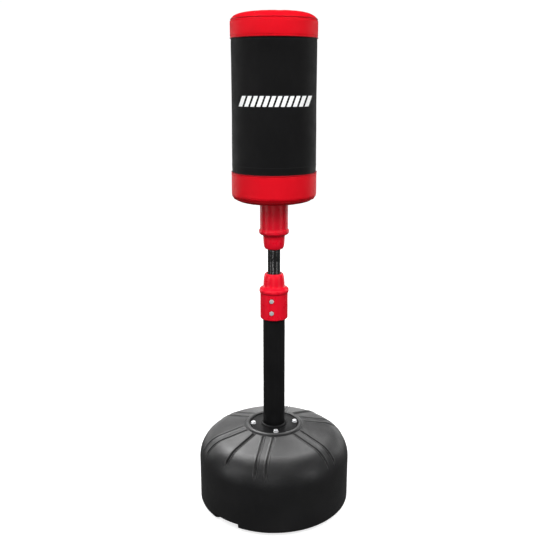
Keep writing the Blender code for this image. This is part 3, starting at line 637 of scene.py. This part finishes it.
def weld(obj):
    bm = bmesh.new()
    bm.from_mesh(obj.data)
    bmesh.ops.remove_doubles(bm, verts=bm.verts, dist=1e-6)
    bmesh.ops.recalc_face_normals(bm, faces=bm.faces)
    bm.to_mesh(obj.data)
    bm.free()


# --- Fasteners ---------------------------------------------


BOLT_FLATS = 0.0130
BOLT_HEAD = 0.0053
BOLT_SHANK = 0.0038
BOLT_CHAMFER = math.radians(28)
WASHER = (0.0043, 0.0085, 0.0015)
FLANGE_BORE = 0.029
FLANGE_THICK = 0.005
WELD = (0.0068, 0.0062)


def hex_bolt(name, length):
    """A hexagon bolt, head above Z = 0, with the curved chamfer that a turned corner leaves."""
    segments = 96
    head, shank = BOLT_HEAD, BOLT_SHANK
    azimuth = np.arange(segments) * TAU / segments
    folded = np.mod(azimuth + math.pi / 6, math.pi / 3) - math.pi / 6
    edge = BOLT_FLATS / 2 / np.cos(folded)
    crown_r = 0.93 * BOLT_FLATS / 2
    drop = (edge - crown_r) * math.tan(BOLT_CHAMFER)
    rings = [(0.6 * shank, -length), (shank - 0.0006, -length), (shank, 0.0006 - length), (shank, -0.0004),
             (shank, 0), (0.5 * (shank + edge), 0), (edge - 0.0002, 0), (edge, 0.0003),
             (edge, 0.5 * (head - drop)), (edge, head - drop - 0.0001), (edge - 0.0002, head - 0.92 * drop),
             (0.5 * (edge + crown_r), head - 0.5 * drop), (crown_r, head),
             (0.95 * crown_r, head + 0.00008), (0.5 * crown_r, head + 0.0001)]
    level = np.zeros(segments)
    verts = np.concatenate([ring_points(level + r, level + z, azimuth) for r, z in rings])
    faces = grid_faces(len(rings), segments)
    verts = np.vstack([verts, [0, 0, -length], [0, 0, head + 0.0001]])
    faces += fan(0, segments, len(verts) - 2, flip=True)
    faces += fan((len(rings) - 1) * segments, segments, len(verts) - 1)
    return add_object(name, verts, faces, ZINC, 28.0)


def make_washer(name):
    inner, outer, thick = WASHER
    outline = rounded([(inner, 0), (outer, 0), (outer, thick), (inner, thick)], 0.0004, 3)
    return lathe(name, outline, ZINC, 64, closed=True)


def make_flange():
    """The flange plate with its weld to the column, four bolts and washers."""
    low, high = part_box("base_flange")
    plate_r = high.x
    post_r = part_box("column_tube")[1].x
    top = low.z + FLANGE_THICK
    outline = rounded([(FLANGE_BORE, low.z), (plate_r, low.z), (plate_r, top), (post_r + WELD[0], top)],
                      0.0009, 4)
    outline += arc((post_r + 0.0002, top - 0.0006), WELD, 2, 88, 12)
    inner, under = post_r + 0.0003, low.z + 0.0001
    outline += [(inner, top + 0.0040), (inner, under), (FLANGE_BORE, under)]

    def ripple(theta, radius, height):
        weld_share = smooth(height, top + 0.0002, top + 0.0030)
        wave = 0.00055 * np.abs(np.sin(theta * 46 + 0.5 * np.sin(5 * theta))) + 0.0002 * np.sin(9 * theta)
        return radius + wave * weld_share, height + 0.4 * wave * weld_share

    plate = lathe("flange_plate", outline, POWDER_FLANGE, 368, ripple, closed=True, sharp=45.0)
    finish_piece(plate, "stand", "black_steel", "base_flange")
    for number in range(1, 5):
        low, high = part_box(f"flange_bolt_{number}")
        centre = (low + high) / 2
        seat = Matrix.Translation((centre.x, centre.y, high.z - BOLT_HEAD))
        turned = seat @ Matrix.Rotation(0.4 + 1.3 * number, 4, "Z")
        bolt = hex_bolt(f"flange_hex_{number}", high.z - low.z - BOLT_HEAD)
        finish_piece(bolt, "stand", "zinc_steel", f"flange_bolt_{number}", place=turned)
        under = Matrix.Translation((centre.x, centre.y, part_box(f"flange_washer_{number}")[0].z))
        washer = make_washer(f"flange_ring_{number}")
        finish_piece(washer, "stand", "zinc_steel", f"flange_washer_{number}", place=under)


# --- Column, collars and neck ------------------------------


def make_posts():
    """The outer column and the sliding pole."""
    for name, node, body, bore, material in (("column_post", "column_tube", "stand", 0.0335, POWDER),
                                             ("sliding_post", "inner_pole", "pole", 0.0186, BOOT)):
        low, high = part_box(node)
        outer, edge = high.x, high.x - 0.0007
        walls = [(outer, z) for z in np.linspace(low.z + 0.001, high.z - 0.001, 24)]
        outline = [(bore, low.z), (edge, low.z)] + walls + [(edge, high.z), (bore, high.z)]
        post = lathe(name, outline, material, 144, closed=True)
        finish_piece(post, body, "black_steel", node)


def collar_outline(rim, way, length):
    """Outline of a collar moulding, from the rim of its neck to its open end and back up its bore."""
    outer = [(0.0249, 0.0), (0.0262, -0.0002), (0.0280, 0.0004), (0.0296, 0.0024), (0.0310, 0.0056),
             (0.0324, 0.0110), (0.0334, 0.0180), (0.0341, 0.0290), (0.0345, 0.0390), (0.0352, 0.0424),
             (0.0368, 0.0446)]
    step = rounded([(0.0368, 0.0446), (0.0390, 0.0458), (0.0396, 0.0466), (0.0404, 0.0458),
                    (0.0436, 0.0470), (0.0468, 0.0508), (0.0475, 0.0535), (0.0475, 0.0585),
                    (0.0466, 0.0612), (0.0448, 0.0632), (0.0443, 0.0650)], 0.0010, 3)
    body = [(0.0443, depth) for depth in np.linspace(0.0660, length - 0.0070, 20)]
    end = rounded([(0.0444, length - 0.0060), (0.0444, length - 0.0025), (0.0432, length - 0.0002),
                   (0.0400, length), (0.0358, length), (0.0358, length - 0.0070)], 0.0012, 4)
    bore = [(0.0358, 0.1100), (0.0358, 0.0560), (0.0356, 0.0550), (0.0209, 0.0550), (0.0209, 0.0200),
            (0.0209, 0.0060), (0.0222, 0.0026)]
    points = outer + step[1:] + body + end + bore
    return [(radius, rim + way * depth) for radius, depth in points]


def make_collar(stem, way, body):
    """A red collar with its two hexagon bolts, each sunk in a counterbore."""
    low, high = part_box(stem)
    outline = collar_outline(high.z if way < 0 else low.z, way, high.z - low.z)[::way]
    shell = lathe(f"{stem}_shell", outline, GLOSS_RED, 240, closed=True, sharp=40.0)
    for number in (1, 2):
        points = mesh_points(frame["nodes"][f"{stem}_bolt_{number}"].data)
        azimuth, height, crown = bolt_axis(points)
        place = facing(azimuth, crown - BOLT_HEAD, height)
        sink(shell, place, number)
        bolt = hex_bolt(f"{stem}_hex_{number}", crown - BOLT_HEAD - node_reach(points, azimuth))
        turned = place @ Matrix.Rotation(0.25 + 0.7 * number, 4, "Z")
        finish_piece(bolt, body, "zinc_steel", f"{stem}_bolt_{number}", place=turned)
    finish_piece(shell, body, "red_plastic", stem)


def bolt_axis(points):
    """Azimuth and height of a level bolt's axis, and how far out its head reaches."""
    middle = points.mean(axis=0)
    for _ in range(3):
        out = np.array([middle[0], middle[1], 0.0]) / math.hypot(middle[0], middle[1])
        reach = points @ out
        middle = points[reach > reach.max() - 0.0003].mean(axis=0)
    return math.atan2(middle[0], -middle[1]), float(middle[2]), float(reach.max())


def node_reach(points, azimuth):
    """The least distance of the points from the column's axis, along an azimuth."""
    return float((points @ np.array([math.sin(azimuth), -math.cos(azimuth), 0.0])).min())


def sink(shell, place, number):
    """Cuts a counterbore with an eased rim, whose floor is the plane of place."""
    outline = [(0, -0.0003), (0.0090, -0.0003), (0.0096, 0.0004), (0.0096, 0.0024), (0.0099, 0.0032),
               (0.0110, 0.0044), (0.0125, 0.0100), (0, 0.0100)]
    cutter = lathe(f"counterbore_{number}", outline, GLOSS_RED, 64)
    cutter.matrix_world = place
    modifier = shell.modifiers.new("counterbore", "BOOLEAN")
    modifier.operation = "DIFFERENCE"
    modifier.solver = "EXACT"
    modifier.object = cutter
    bpy.context.view_layer.update()
    cut = bpy.data.meshes.new_from_object(shell.evaluated_get(bpy.context.evaluated_depsgraph_get()))
    shell.modifiers.clear()
    shell.data = cut
    shade(cut, 32)
    bpy.data.objects.remove(cutter)


# The neck is made in a lower and an upper length, which meet at its middle.
NECK_MIDDLE = 0.8295
BOOT_BORE = 0.0166
BOOT_RIPPLE = 0.00012
BOOT_PITCH = 0.0046
SPRING_WIRE = 0.0026
SPRING_TURNS = 9
NECK_LENGTHS = (("lower", ("pole", "neck"), 0.7930, 0.8290), ("upper", ("neck", "bag"), 0.8300, 0.8660))


def bend_neck(piece, node):
    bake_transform(piece)
    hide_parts(node)


def make_neck_boot():
    """The glossy boot round the neck spring, with fine ripples from the coil under it."""
    low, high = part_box("neck_boot")
    boots = []
    for (name, bodies, start, end), span in zip(NECK_LENGTHS, ((low.z, NECK_MIDDLE), (NECK_MIDDLE, high.z))):
        levels = np.linspace(*span, 40)
        walls = high.x - BOOT_RIPPLE + BOOT_RIPPLE * np.sin(levels * TAU / BOOT_PITCH)
        outline = [(BOOT_BORE, z) for z in levels[::-4]] + list(zip(walls, levels))
        boot = lathe(f"neck_boot_{name}", outline, BOOT, 96, closed=True, sharp=60.0)
        bend_neck(boot, "neck_boot")
        boots.append(boot)
    return boots


def make_neck_spring():
    """The coil inside the boot, its wire ends cut flat."""
    low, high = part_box("neck_spring")
    wire, turns, sides = SPRING_WIRE, SPRING_TURNS, 12
    radius = high.x - wire
    bottom, height = low.z + wire, high.z - low.z - 2 * wire
    share = (NECK_MIDDLE - bottom) / height
    climb = height / (TAU * turns * radius)
    for (name, bodies, start, end), (first, last) in zip(NECK_LENGTHS, ((0.0, share), (share, 1.0))):
        along = np.linspace(first, last, int(48 * turns * (last - first)) + 1)
        turn = TAU * turns * along
        level = np.zeros_like(turn)
        out = np.stack([np.cos(turn), np.sin(turn), level], axis=1)
        centres = out * radius + np.stack([level, level, bottom + height * along], axis=1)
        tangent = np.stack([-np.sin(turn), np.cos(turn), level + climb], axis=1)
        tangent /= np.linalg.norm(tangent, axis=1)[:, None]
        across = np.cross(tangent, out)
        rings = [centres + wire * (math.cos(a) * out + math.sin(a) * across)
                 for a in np.arange(sides) * TAU / sides]
        verts = np.stack(rings, axis=1).reshape(-1, 3)
        ends = [list(range(sides))[::-1], list(range(len(verts) - sides, len(verts)))]
        spring = add_object(f"neck_spring_{name}", verts, grid_faces(len(turn), sides) + ends,
                            SLOT_MATERIALS["spring_steel"], 50.0)
        bend_neck(spring, "neck_spring")


# --- Bag ---------------------------------------------------


BAG_LOW, BAG_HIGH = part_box("bag_cap_bottom")[0].z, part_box("bag_cap_top")[1].z
LOWER_SEAM, UPPER_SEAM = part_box("bag_cover")[0].z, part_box("bag_cover")[1].z
CAP_R, COVER_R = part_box("bag_cap_top")[1].x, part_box("bag_cover")[1].x
HOLE_R = 0.0462
TOP_WELT = BAG_HIGH - 0.0166
BOTTOM_WELT = BAG_LOW + 0.0125
ENVELOPE_INSET = 0.0006
MOST_SWELL = 0.0045
DEEPEST = -0.0026  # keeps the cover clear of its filling
SKIN_COLUMNS = 360
SKIN_STEP = 0.0022
PROBE = 0.02
CLOTH_FRAMES = 20
CLOTH = {"vertex_group_mass": "held", "quality": 6, "mass": 0.35, "tension_stiffness": 28.0,
         "compression_stiffness": 28.0, "shear_stiffness": 12.0, "bending_stiffness": 1.2,
         "use_pressure": True, "uniform_pressure_force": 4.0}


def envelope_outline():
    """The whole bag's outline, from the hole at its foot to the middle of its top."""
    points = [(HOLE_R, BAG_LOW + 0.0012), (0.060, BAG_LOW + 0.0004)]
    points += arc((CAP_R - BOTTOM_EDGE[0], BAG_LOW + BOTTOM_EDGE[1]), BOTTOM_EDGE, -90, 0, 16)
    points += [(CAP_R, z) for z in np.linspace(BAG_LOW + BOTTOM_EDGE[1], LOWER_SEAM - 0.001, 10)[1:]]
    points += [(COVER_R, z) for z in np.linspace(LOWER_SEAM + 0.001, UPPER_SEAM - 0.001, 64)]
    points += [(CAP_R, z) for z in np.linspace(UPPER_SEAM + 0.001, BAG_HIGH - TOP_EDGE[1], 8)]
    points += arc((CAP_R - TOP_EDGE[0], BAG_HIGH - TOP_EDGE[1]), TOP_EDGE, 0, 90, 16)[1:]
    points += [(r, BAG_HIGH) for r in np.linspace(CAP_R - TOP_EDGE[0], 0.0, 8)[1:]]
    return points


def inflate_envelope():
    """Blows up the sewn envelope over its filling with cloth and returns a tree of its surface."""
    outline = [(r - ENVELOPE_INSET if r > HOLE_R else r, z) for r, z in envelope_outline()]
    outline = [(0, BAG_LOW + 0.0012)] + [(r, min(z, BAG_HIGH - 0.0020)) for r, z in outline]
    envelope = lathe("envelope", outline, None, 160)
    envelope.data.remesh_voxel_size = 0.0055
    bpy.context.view_layer.objects.active = envelope
    envelope.select_set(True)
    bpy.ops.object.voxel_remesh()
    start = mesh_points(envelope.data)
    radius = np.hypot(start[:, 0], start[:, 1])
    near = [np.abs(start[:, 2] - z) < 0.0050 for z in (LOWER_SEAM, UPPER_SEAM)]
    held = near[0] | near[1] | ((radius < 0.060) & (start[:, 2] < BAG_LOW + 0.010))
    group = envelope.vertex_groups.new(name="held")
    group.add([int(i) for i in np.nonzero(held)[0]], 1.0, "REPLACE")
    cloth = envelope.modifiers.new("cloth", "CLOTH")
    for setting, value in CLOTH.items():
        setattr(cloth.settings, setting, value)
    cloth.settings.effector_weights.gravity = 0.0
    scene = bpy.context.scene
    for number in range(1, CLOTH_FRAMES + 1):
        scene.frame_set(number)
    evaluated = envelope.evaluated_get(bpy.context.evaluated_depsgraph_get())
    shift = mesh_points(evaluated.data) - start
    length = np.linalg.norm(shift, axis=1)
    shift *= np.minimum(MOST_SWELL / np.maximum(length, 1e-9), 1.0)[:, None]
    envelope.modifiers.remove(cloth)
    scene.frame_set(1)
    faces = [list(face.vertices) for face in envelope.data.polygons]
    tree = BVHTree.FromPolygons((start + shift).tolist(), faces)
    bpy.data.objects.remove(envelope)
    return tree


def lumps(point):
    """Slow unevenness of the filling under the cover, a little fuller low down where it has settled."""
    broad = noise.noise(Vector((7.0 * point[0], 7.0 * point[1], 5.0 * point[2])) + Vector((3.1, 1.7, 0.4)))
    fine = noise.noise(Vector((22.0 * point[0], 22.0 * point[1], 15.0 * point[2])) + Vector((0.3, 5.2, 7.7)))
    calm = 1.0 - 0.6 * min(max((point[2] - TOP_WELT) / 0.01, 0.0), 1.0)
    low = min(max((1.36 - point[2]) / 0.24, 0.0), 1.0)
    settled = 0.0012 * low * low * (3 - 2 * low) * min(max((point[2] - BAG_LOW) / 0.02, 0.0), 1.0)
    return (0.0009 * broad + 0.00035 * fine) * calm + settled


class Skin:
    """The bag's stuffed surface: asks the inflated envelope where each point of an outline ends up."""

    def __init__(self, tree):
        self.tree = tree

    def grid(self, outline, azimuth, proud=0.0):
        """Points and normals over an outline of (radius, height) at each azimuth, moved out by proud."""
        outline = np.array(outline, float)
        run = np.gradient(outline[:, 0])
        rise = np.gradient(outline[:, 1])
        length = np.hypot(run, rise) + 1e-12
        normals = np.stack([rise / length, -run / length], axis=1)
        points = np.zeros((len(outline), len(azimuth), 3))
        outward = np.zeros_like(points)
        for i, ((radius, height), (out_r, out_z)) in enumerate(zip(outline, normals)):
            for j, turn in enumerate(azimuth):
                across = np.array([math.sin(turn), -math.cos(turn), 0.0])
                point = across * radius + np.array([0, 0, height])
                normal = across * out_r + np.array([0, 0, out_z])
                depth = max(self.depth(point, normal) + self.seams(height, turn, radius), DEEPEST)
                points[i, j] = point + normal * (depth + proud)
                outward[i, j] = normal
        return points, outward

    def depth(self, point, normal):
        swell = lumps(point)
        if self.tree is None:
            z = point[2]
            share = (z - LOWER_SEAM) / (UPPER_SEAM - LOWER_SEAM)
            return swell + (0.0012 * math.sin(math.pi * share) if 0 < share < 1 else 0.0006)
        start = Vector(point + normal * PROBE)
        hit = self.tree.ray_cast(start, Vector(-normal), 0.05)
        if hit[0] is None:
            return swell
        return swell + PROBE - hit[3]

    def seams(self, height, turn, radius):
        """Pull of the seams and the puckers that their stitches leave."""
        if radius < 0.08:
            return 0.0
        pull = 0.0
        for z, depth, reach in ((LOWER_SEAM, 0.0011, 0.007), (UPPER_SEAM, 0.0011, 0.007),
                                (TOP_WELT, 0.0009, 0.005), (BOTTOM_WELT, 0.0009, 0.005)):
            away = abs(height - z) / reach
            if away < 3:
                pucker = 0.35 * math.sin(turn * CAP_R / SEAM_STITCH * 0.5 + 2.0 * math.sin(5 * turn))
                pull -= depth * math.exp(-away * away) * (1 + pucker)
                if height < BAG_HIGH and away > 0.4:
                    drape = noise.noise(Vector((math.sin(turn) * 9, math.cos(turn) * 9, z * 31)))
                    pull += 0.0005 * drape * math.exp(-(away - 1.2) ** 2)
        return pull


def skin_piece(name, outline, material, skin, thick, top_closed=False):
    """A sewn panel: its outer face follows the skin, its edges turn in by the cloth's thickness."""
    columns = SKIN_COLUMNS
    points, normals = skin.grid(outline, np.arange(columns) * TAU / columns)
    inner_start = points[0] - normals[0] * thick
    lip_start = points[0] - normals[0] * 0.35 * thick
    rows = [inner_start, lip_start * 0.5 + 0.5 * (points[0] - normals[0] * 0.1 * thick)] + list(points)
    if not top_closed:
        rows += [points[-1] - normals[-1] * 0.3 * thick, points[-1] - normals[-1] * thick]
    verts = np.concatenate(rows)
    faces = grid_faces(len(rows), columns)
    if top_closed:
        verts = np.vstack([verts, points[-1].mean(axis=0)])
        faces += fan((len(rows) - 1) * columns, columns, len(verts) - 1)
    return add_object(name, verts, faces, material, 60.0)


def skin_ring(name, skin, radius, height, thick, proud):
    azimuth = np.arange(SKIN_COLUMNS) * TAU / SKIN_COLUMNS
    points, normals = skin.grid(outline_slice(radius, height), azimuth, proud)
    # The cord takes the darkened red, painted shade along the seams
    return tube_ring(name, points[1], normals[1], thick, SHADED_WELT_RED)


def outline_slice(radius, height):
    """Three outline points round one height, so that the normal there is known."""
    for edge, level, way in ((TOP_EDGE, BAG_HIGH - TOP_EDGE[1], 1),
                             (BOTTOM_EDGE, BAG_LOW + BOTTOM_EDGE[1], -1)):
        rise = (height - level) / edge[1]
        if way * rise > 0:
            angle = math.degrees(math.asin(way * min(way * rise, 1.0)))
            return arc((CAP_R - edge[0], level), edge, angle - 3, angle + 3, 2)
    return [(radius, height - 0.001), (radius, height), (radius, height + 0.001)]


def stitch_mesh(name, centres, normals, along, length, material):
    """One mesh of small thread bars, each lying along its line on the surface."""
    rings, sides, width = 5, 6, 0.0011
    t = np.linspace(-1, 1, rings)
    verts, faces = [], []
    for centre, normal, direction in zip(centres, normals, along):
        across = np.cross(direction, normal)
        start = len(verts)
        for step in t:
            swell = math.sqrt(max(1 - 0.82 * step * step, 0.05))
            dip = -0.55 * width * step * step
            for side in range(sides):
                turn = TAU * side / sides
                offset = (math.cos(turn) * normal * 0.75 + math.sin(turn) * across) * width * 0.5 * swell
                verts.append(centre + direction * length * 0.5 * step + normal * dip + offset)
        faces += grid_faces(rings, sides, start=start)
        faces.append(list(range(start, start + sides))[::-1])
        faces.append(list(range(start + (rings - 1) * sides, start + rings * sides)))
    return add_object(name, verts, faces, material, 80.0)


def stitch_ring(name, skin, radius, height, material):
    count = int(TAU * radius / SEAM_STITCH)
    azimuth = np.arange(count) * TAU / count
    points, normals = skin.grid(outline_slice(radius, height), azimuth, 0.0004)
    along = np.roll(points[1], -1, axis=0) - np.roll(points[1], 1, axis=0)
    along /= np.linalg.norm(along, axis=1)[:, None]
    return stitch_mesh(name, points[1], normals[1], along, 0.70 * SEAM_STITCH, material)


def make_print(skin):
    """A plain row of slanted bars printed across the front of the cover."""
    low, high = PRINT_BAND
    heights = np.linspace(low, high, 10)
    pitch = 2 * PRINT_HALF_WIDTH / PRINT_BARS
    across = np.linspace(0, 0.66 * pitch, 8)
    verts, faces = [], []
    for bar in range(PRINT_BARS):
        left = -PRINT_HALF_WIDTH + pitch * (bar + 0.14)
        start = len(verts)
        for height in heights:
            lean = PRINT_SLANT * ((height - low) / (high - low) - 0.5)
            azimuth = [math.asin((left + x + lean + PRINT_SHIFT) / COVER_R) for x in across]
            points, _ = skin.grid(outline_slice(COVER_R, height), azimuth, 0.00028)
            verts += list(points[1])
        faces += grid_faces(len(heights), len(across), wrap_cols=False, start=start)
    return add_object("cover_print", verts, faces, PRINT, 80.0)


def make_back_seam(skin):
    """The closing seam down the back of the black cover: an overlapped strip with two rows of stitches."""
    heights = np.linspace(LOWER_SEAM + 0.003, UPPER_SEAM - 0.003, 90)
    profile = ((-0.0078, -0.0004), (-0.0074, 0.0007), (-0.0050, 0.0009), (-0.0032, 0.0006), (0.0, 0.0010),
               (0.0032, 0.0006), (0.0050, 0.0009), (0.0074, 0.0007), (0.0078, -0.0004))
    azimuth = [math.pi + offset / COVER_R for offset, _ in profile]
    points, normals = skin.grid([(COVER_R, z) for z in heights], azimuth)
    lift = np.array([proud for _, proud in profile])[None, :, None]
    verts = (points + normals * lift).reshape(-1, 3)
    strip = add_object("cover_back_seam", verts, grid_faces(len(heights), len(profile), wrap_cols=False),
                       VINYL_BLACK, 60.0)
    for number, offset in enumerate((-0.0041, 0.0041), 1):
        rows = np.arange(LOWER_SEAM + 0.006, UPPER_SEAM - 0.006, SEAM_STITCH)
        points, normals = skin.grid([(COVER_R, z) for z in rows], [math.pi + offset / COVER_R], 0.0011)
        up = np.tile(np.array([0.0, 0.0, 1.0]), (len(rows), 1))
        name = f"cover_back_stitch_{number}"
        row = stitch_mesh(name, points[:, 0], normals[:, 0], up, 0.0033, THREAD_BLACK)
        finish_piece(row, "bag", "black_cover")
    return strip


def make_bag():
    tree = inflate_envelope()
    skin = Skin(tree)
    outline = envelope_outline()
    side = [(COVER_R, z) for z in np.linspace(LOWER_SEAM + 0.0002, UPPER_SEAM - 0.0002, 110)]
    foot = resample([(r, z) for r, z in outline if z < LOWER_SEAM], SKIN_STEP)
    foot.append((CAP_R, LOWER_SEAM - 0.0002))
    head = [(CAP_R, UPPER_SEAM + 0.0002)] + [(r, z) for r, z in outline if z > UPPER_SEAM and r > 0.001]
    head = resample(head, SKIN_STEP)
    for name, line, material, thick, node, slot in (
            ("cover_black", side, VINYL_BLACK, 0.0020, "bag_cover", "black_cover"),
            ("cap_red_bottom", foot, VINYL_RED, 0.0026, "bag_cap_bottom", "red_cover"),
            ("cap_red_top", head, VINYL_RED, 0.0026, "bag_cap_top", "red_cover")):
        piece = skin_piece(name, line, material, skin, thick, top_closed=line is head)
        finish_piece(piece, "bag", slot, node)
    rings = (("welt_top", CAP_R, TOP_WELT, 0.0016, 0.0004),
             ("welt_upper_seam", CAP_R - 0.0004, UPPER_SEAM + 0.0012, 0.0015, 0.0006),
             ("welt_lower_seam", CAP_R - 0.0004, LOWER_SEAM - 0.0012, 0.0015, 0.0006),
             ("welt_bottom", CAP_R, BOTTOM_WELT, 0.0016, 0.0004))
    for name, *shape in rings:
        finish_piece(skin_ring(name, skin, *shape), "bag", "red_cover")
    red_rows = (("cap_top", UPPER_SEAM + 0.0075), ("cap_bottom", LOWER_SEAM - 0.0075),
                ("welt_top", TOP_WELT - 0.0055), ("welt_bottom", BOTTOM_WELT + 0.0060))
    black_rows = (("cover_top", UPPER_SEAM - 0.0060), ("cover_bottom", LOWER_SEAM + 0.0225))
    for rows, radius, thread, slot in ((red_rows, CAP_R, THREAD_RED, "red_cover"),
                                       (black_rows, COVER_R, THREAD_BLACK, "black_cover")):
        for name, height in rows:
            finish_piece(stitch_ring(f"stitch_{name}", skin, radius, height, thread), "bag", slot)
    finish_piece(make_print(skin), "bag", "black_cover")
    finish_piece(make_back_seam(skin), "bag", "black_cover")


def resample(outline, spacing):
    """The same outline with points at an even spacing."""
    points = np.array(outline, float)
    steps = np.hypot(*np.diff(points, axis=0).T)
    points = points[np.concatenate([[True], steps > 1e-7])]
    steps = np.hypot(*np.diff(points, axis=0).T)
    along = np.concatenate([[0], np.cumsum(steps)])
    count = max(int(along[-1] / spacing), 4)
    at = np.linspace(0, along[-1], count + 1)
    return list(zip(np.interp(at, along, points[:, 0]), np.interp(at, along, points[:, 1])))


# --- Stage -------------------------------------------------


def area_light(name, place, target, size, radiance, mirrored):
    """A panel of even radiance, either mirrored by gloss only or lighting matt surfaces only."""
    data = bpy.data.lights.new(name, "AREA")
    data.shape = "RECTANGLE"
    data.size, data.size_y = size
    data.energy = radiance * math.pi * size[0] * size[1]
    light = bpy.data.objects.new(name, data)
    light.location = place
    light.rotation_euler = (Vector(target) - Vector(place)).to_track_quat("-Z", "Y").to_euler()
    light.visible_camera = False
    light.visible_glossy = mirrored
    light.visible_diffuse = not mirrored
    bpy.context.scene.collection.objects.link(light)
    return light


FLOOR_RADIUS = 14.0
FLOOR_DROP = 0.0006
# Panels that only gloss mirrors: name, place, target, size, radiance. The first two serve the base alone
MIRRORED_PANELS = (("top_left", (-1.40, 1.5, 3.2), (0, 0, 0.3), (2.1, 2.5), 10.6),
                   ("top_right", (0.95, 1.5, 3.2), (0, 0, 0.3), (1.4, 2.5), 6.4),
                   ("back_strip", (0.0, 4.0, 0.3), (0, 0, 0.3), (7.0, 1.3), 1.5),
                   ("ceiling", (0.0, 0.0, 4.0), (0, 0, 0), (3.5, 3.5), 0.25))
# Panels that only light matt surfaces
MATT_PANELS = (("left_key", (-1.7, -2.0, 3.9), (0, 0, 0.9), (3.2, 2.6), 5.2),
               ("right_key", (2.0, -1.9, 3.8), (0, 0, 0.9), (2.8, 2.4), 5.4),
               ("front_fill", (0.2, -4.2, 1.9), (0, 0, 0.9), (4.0, 2.4), 1.5),
               ("back_left", (-2.2, 2.8, 1.5), (0, 0, 0.8), (2.4, 2.4), 3.4),
               ("back_right", (2.2, 2.8, 1.5), (0, 0, 0.8), (2.4, 2.4), 3.4))
# Upright strips that only gloss mirrors, round the object: azimuth in degrees, width, radiance
STRIP_DISTANCE = 3.0
NECK_STRIPS = ((-20, 0.18, 22.0), (44, 0.18, 11.0))
STRIPS = ((-64, 0.70, 4.5), (-9, 0.35, 3.2), (58, 0.60, 3.5), (122, 0.60, 3.0), (-122, 0.60, 3.0),
          (180, 0.40, 2.5))


def make_floor():
    """A round floor just under the object, kept out of diffuse and glossy rays."""
    radii = FLOOR_RADIUS * np.linspace(0.001, 1.0, 24)[::-1] ** 2
    azimuth = np.arange(64) * TAU / 64
    level = np.zeros(len(azimuth))
    rings = [ring_points(level + radius, level - FLOOR_DROP, azimuth) for radius in radii]
    floor = add_object("floor", np.concatenate(rings), grid_faces(len(radii), len(azimuth)), floor_paint())
    floor.visible_diffuse = False
    floor.visible_glossy = False


def make_stage():
    """Floor, world and lights; returns the two softboxes that face the base."""
    make_floor()
    world = bpy.data.worlds.new("studio")
    bpy.context.scene.world = world
    world.use_nodes = True
    tree = world.node_tree
    background = tree.nodes["Background"]
    background.inputs["Color"].default_value = (1.0, 1.0, 1.0, 1.0)
    path = tree.nodes.new("ShaderNodeLightPath")
    strength = tree.nodes.new("ShaderNodeMapRange")
    strength.inputs["To Min"].default_value = 0.10
    strength.inputs["To Max"].default_value = 1.02
    tree.links.new(path.outputs["Is Camera Ray"], strength.inputs["Value"])
    tree.links.new(strength.outputs["Result"], background.inputs["Strength"])
    mirrored = [area_light(*panel, mirrored=True) for panel in MIRRORED_PANELS]
    for panel in MATT_PANELS:
        area_light(*panel, mirrored=False)
    for number, strip in enumerate(STRIPS, 1):
        strip_light(f"strip_{number}", *strip)
    return mirrored[:2]


def strip_light(name, azimuth, width, radiance):
    turn = math.radians(azimuth)
    place = (STRIP_DISTANCE * math.sin(turn), -STRIP_DISTANCE * math.cos(turn), 1.35)
    return area_light(name, place, (0, 0, 1.0), (width, 2.2), radiance, mirrored=True)


def limit_light(light, pieces):
    """Keeps a light's reflection to the pieces that face it."""
    group = bpy.data.collections.new(f"{light.name}_pieces")
    for piece in pieces:
        group.objects.link(piece)
    light.light_linking.receiver_collection = group


def make_camera():
    data = bpy.data.cameras.new("camera")
    data.sensor_width = 36.0
    data.lens = 47.95
    data.shift_x = 0.0018
    data.clip_end = 60.0
    camera = bpy.data.objects.new("camera", data)
    camera.location = (0.0, -2.2623, 1.3752)
    camera.rotation_euler = (math.radians(90 - 14.63), 0.0, 0.0)
    bpy.context.scene.collection.objects.link(camera)
    bpy.context.scene.camera = camera


def make_all():
    make_camera()
    softboxes = make_stage()
    paint_frame()
    make_base()
    make_fill_cap()
    make_flange()
    stems = ("base_body", "fill_", "flange_")
    low_pieces = [piece for piece in bpy.data.objects if piece.name.startswith(stems)]
    for softbox in softboxes:
        limit_light(softbox, low_pieces)
    make_posts()
    make_collar("lower_collar", -1, "stand")
    make_collar("upper_collar", 1, "bag")
    boots = make_neck_boot()
    for number, strip in enumerate(NECK_STRIPS, 1):
        limit_light(strip_light(f"neck_strip_{number}", *strip), boots)
    make_neck_spring()
    make_bag()
    bpy.context.scene.view_settings.view_transform = "Standard"


make_all()
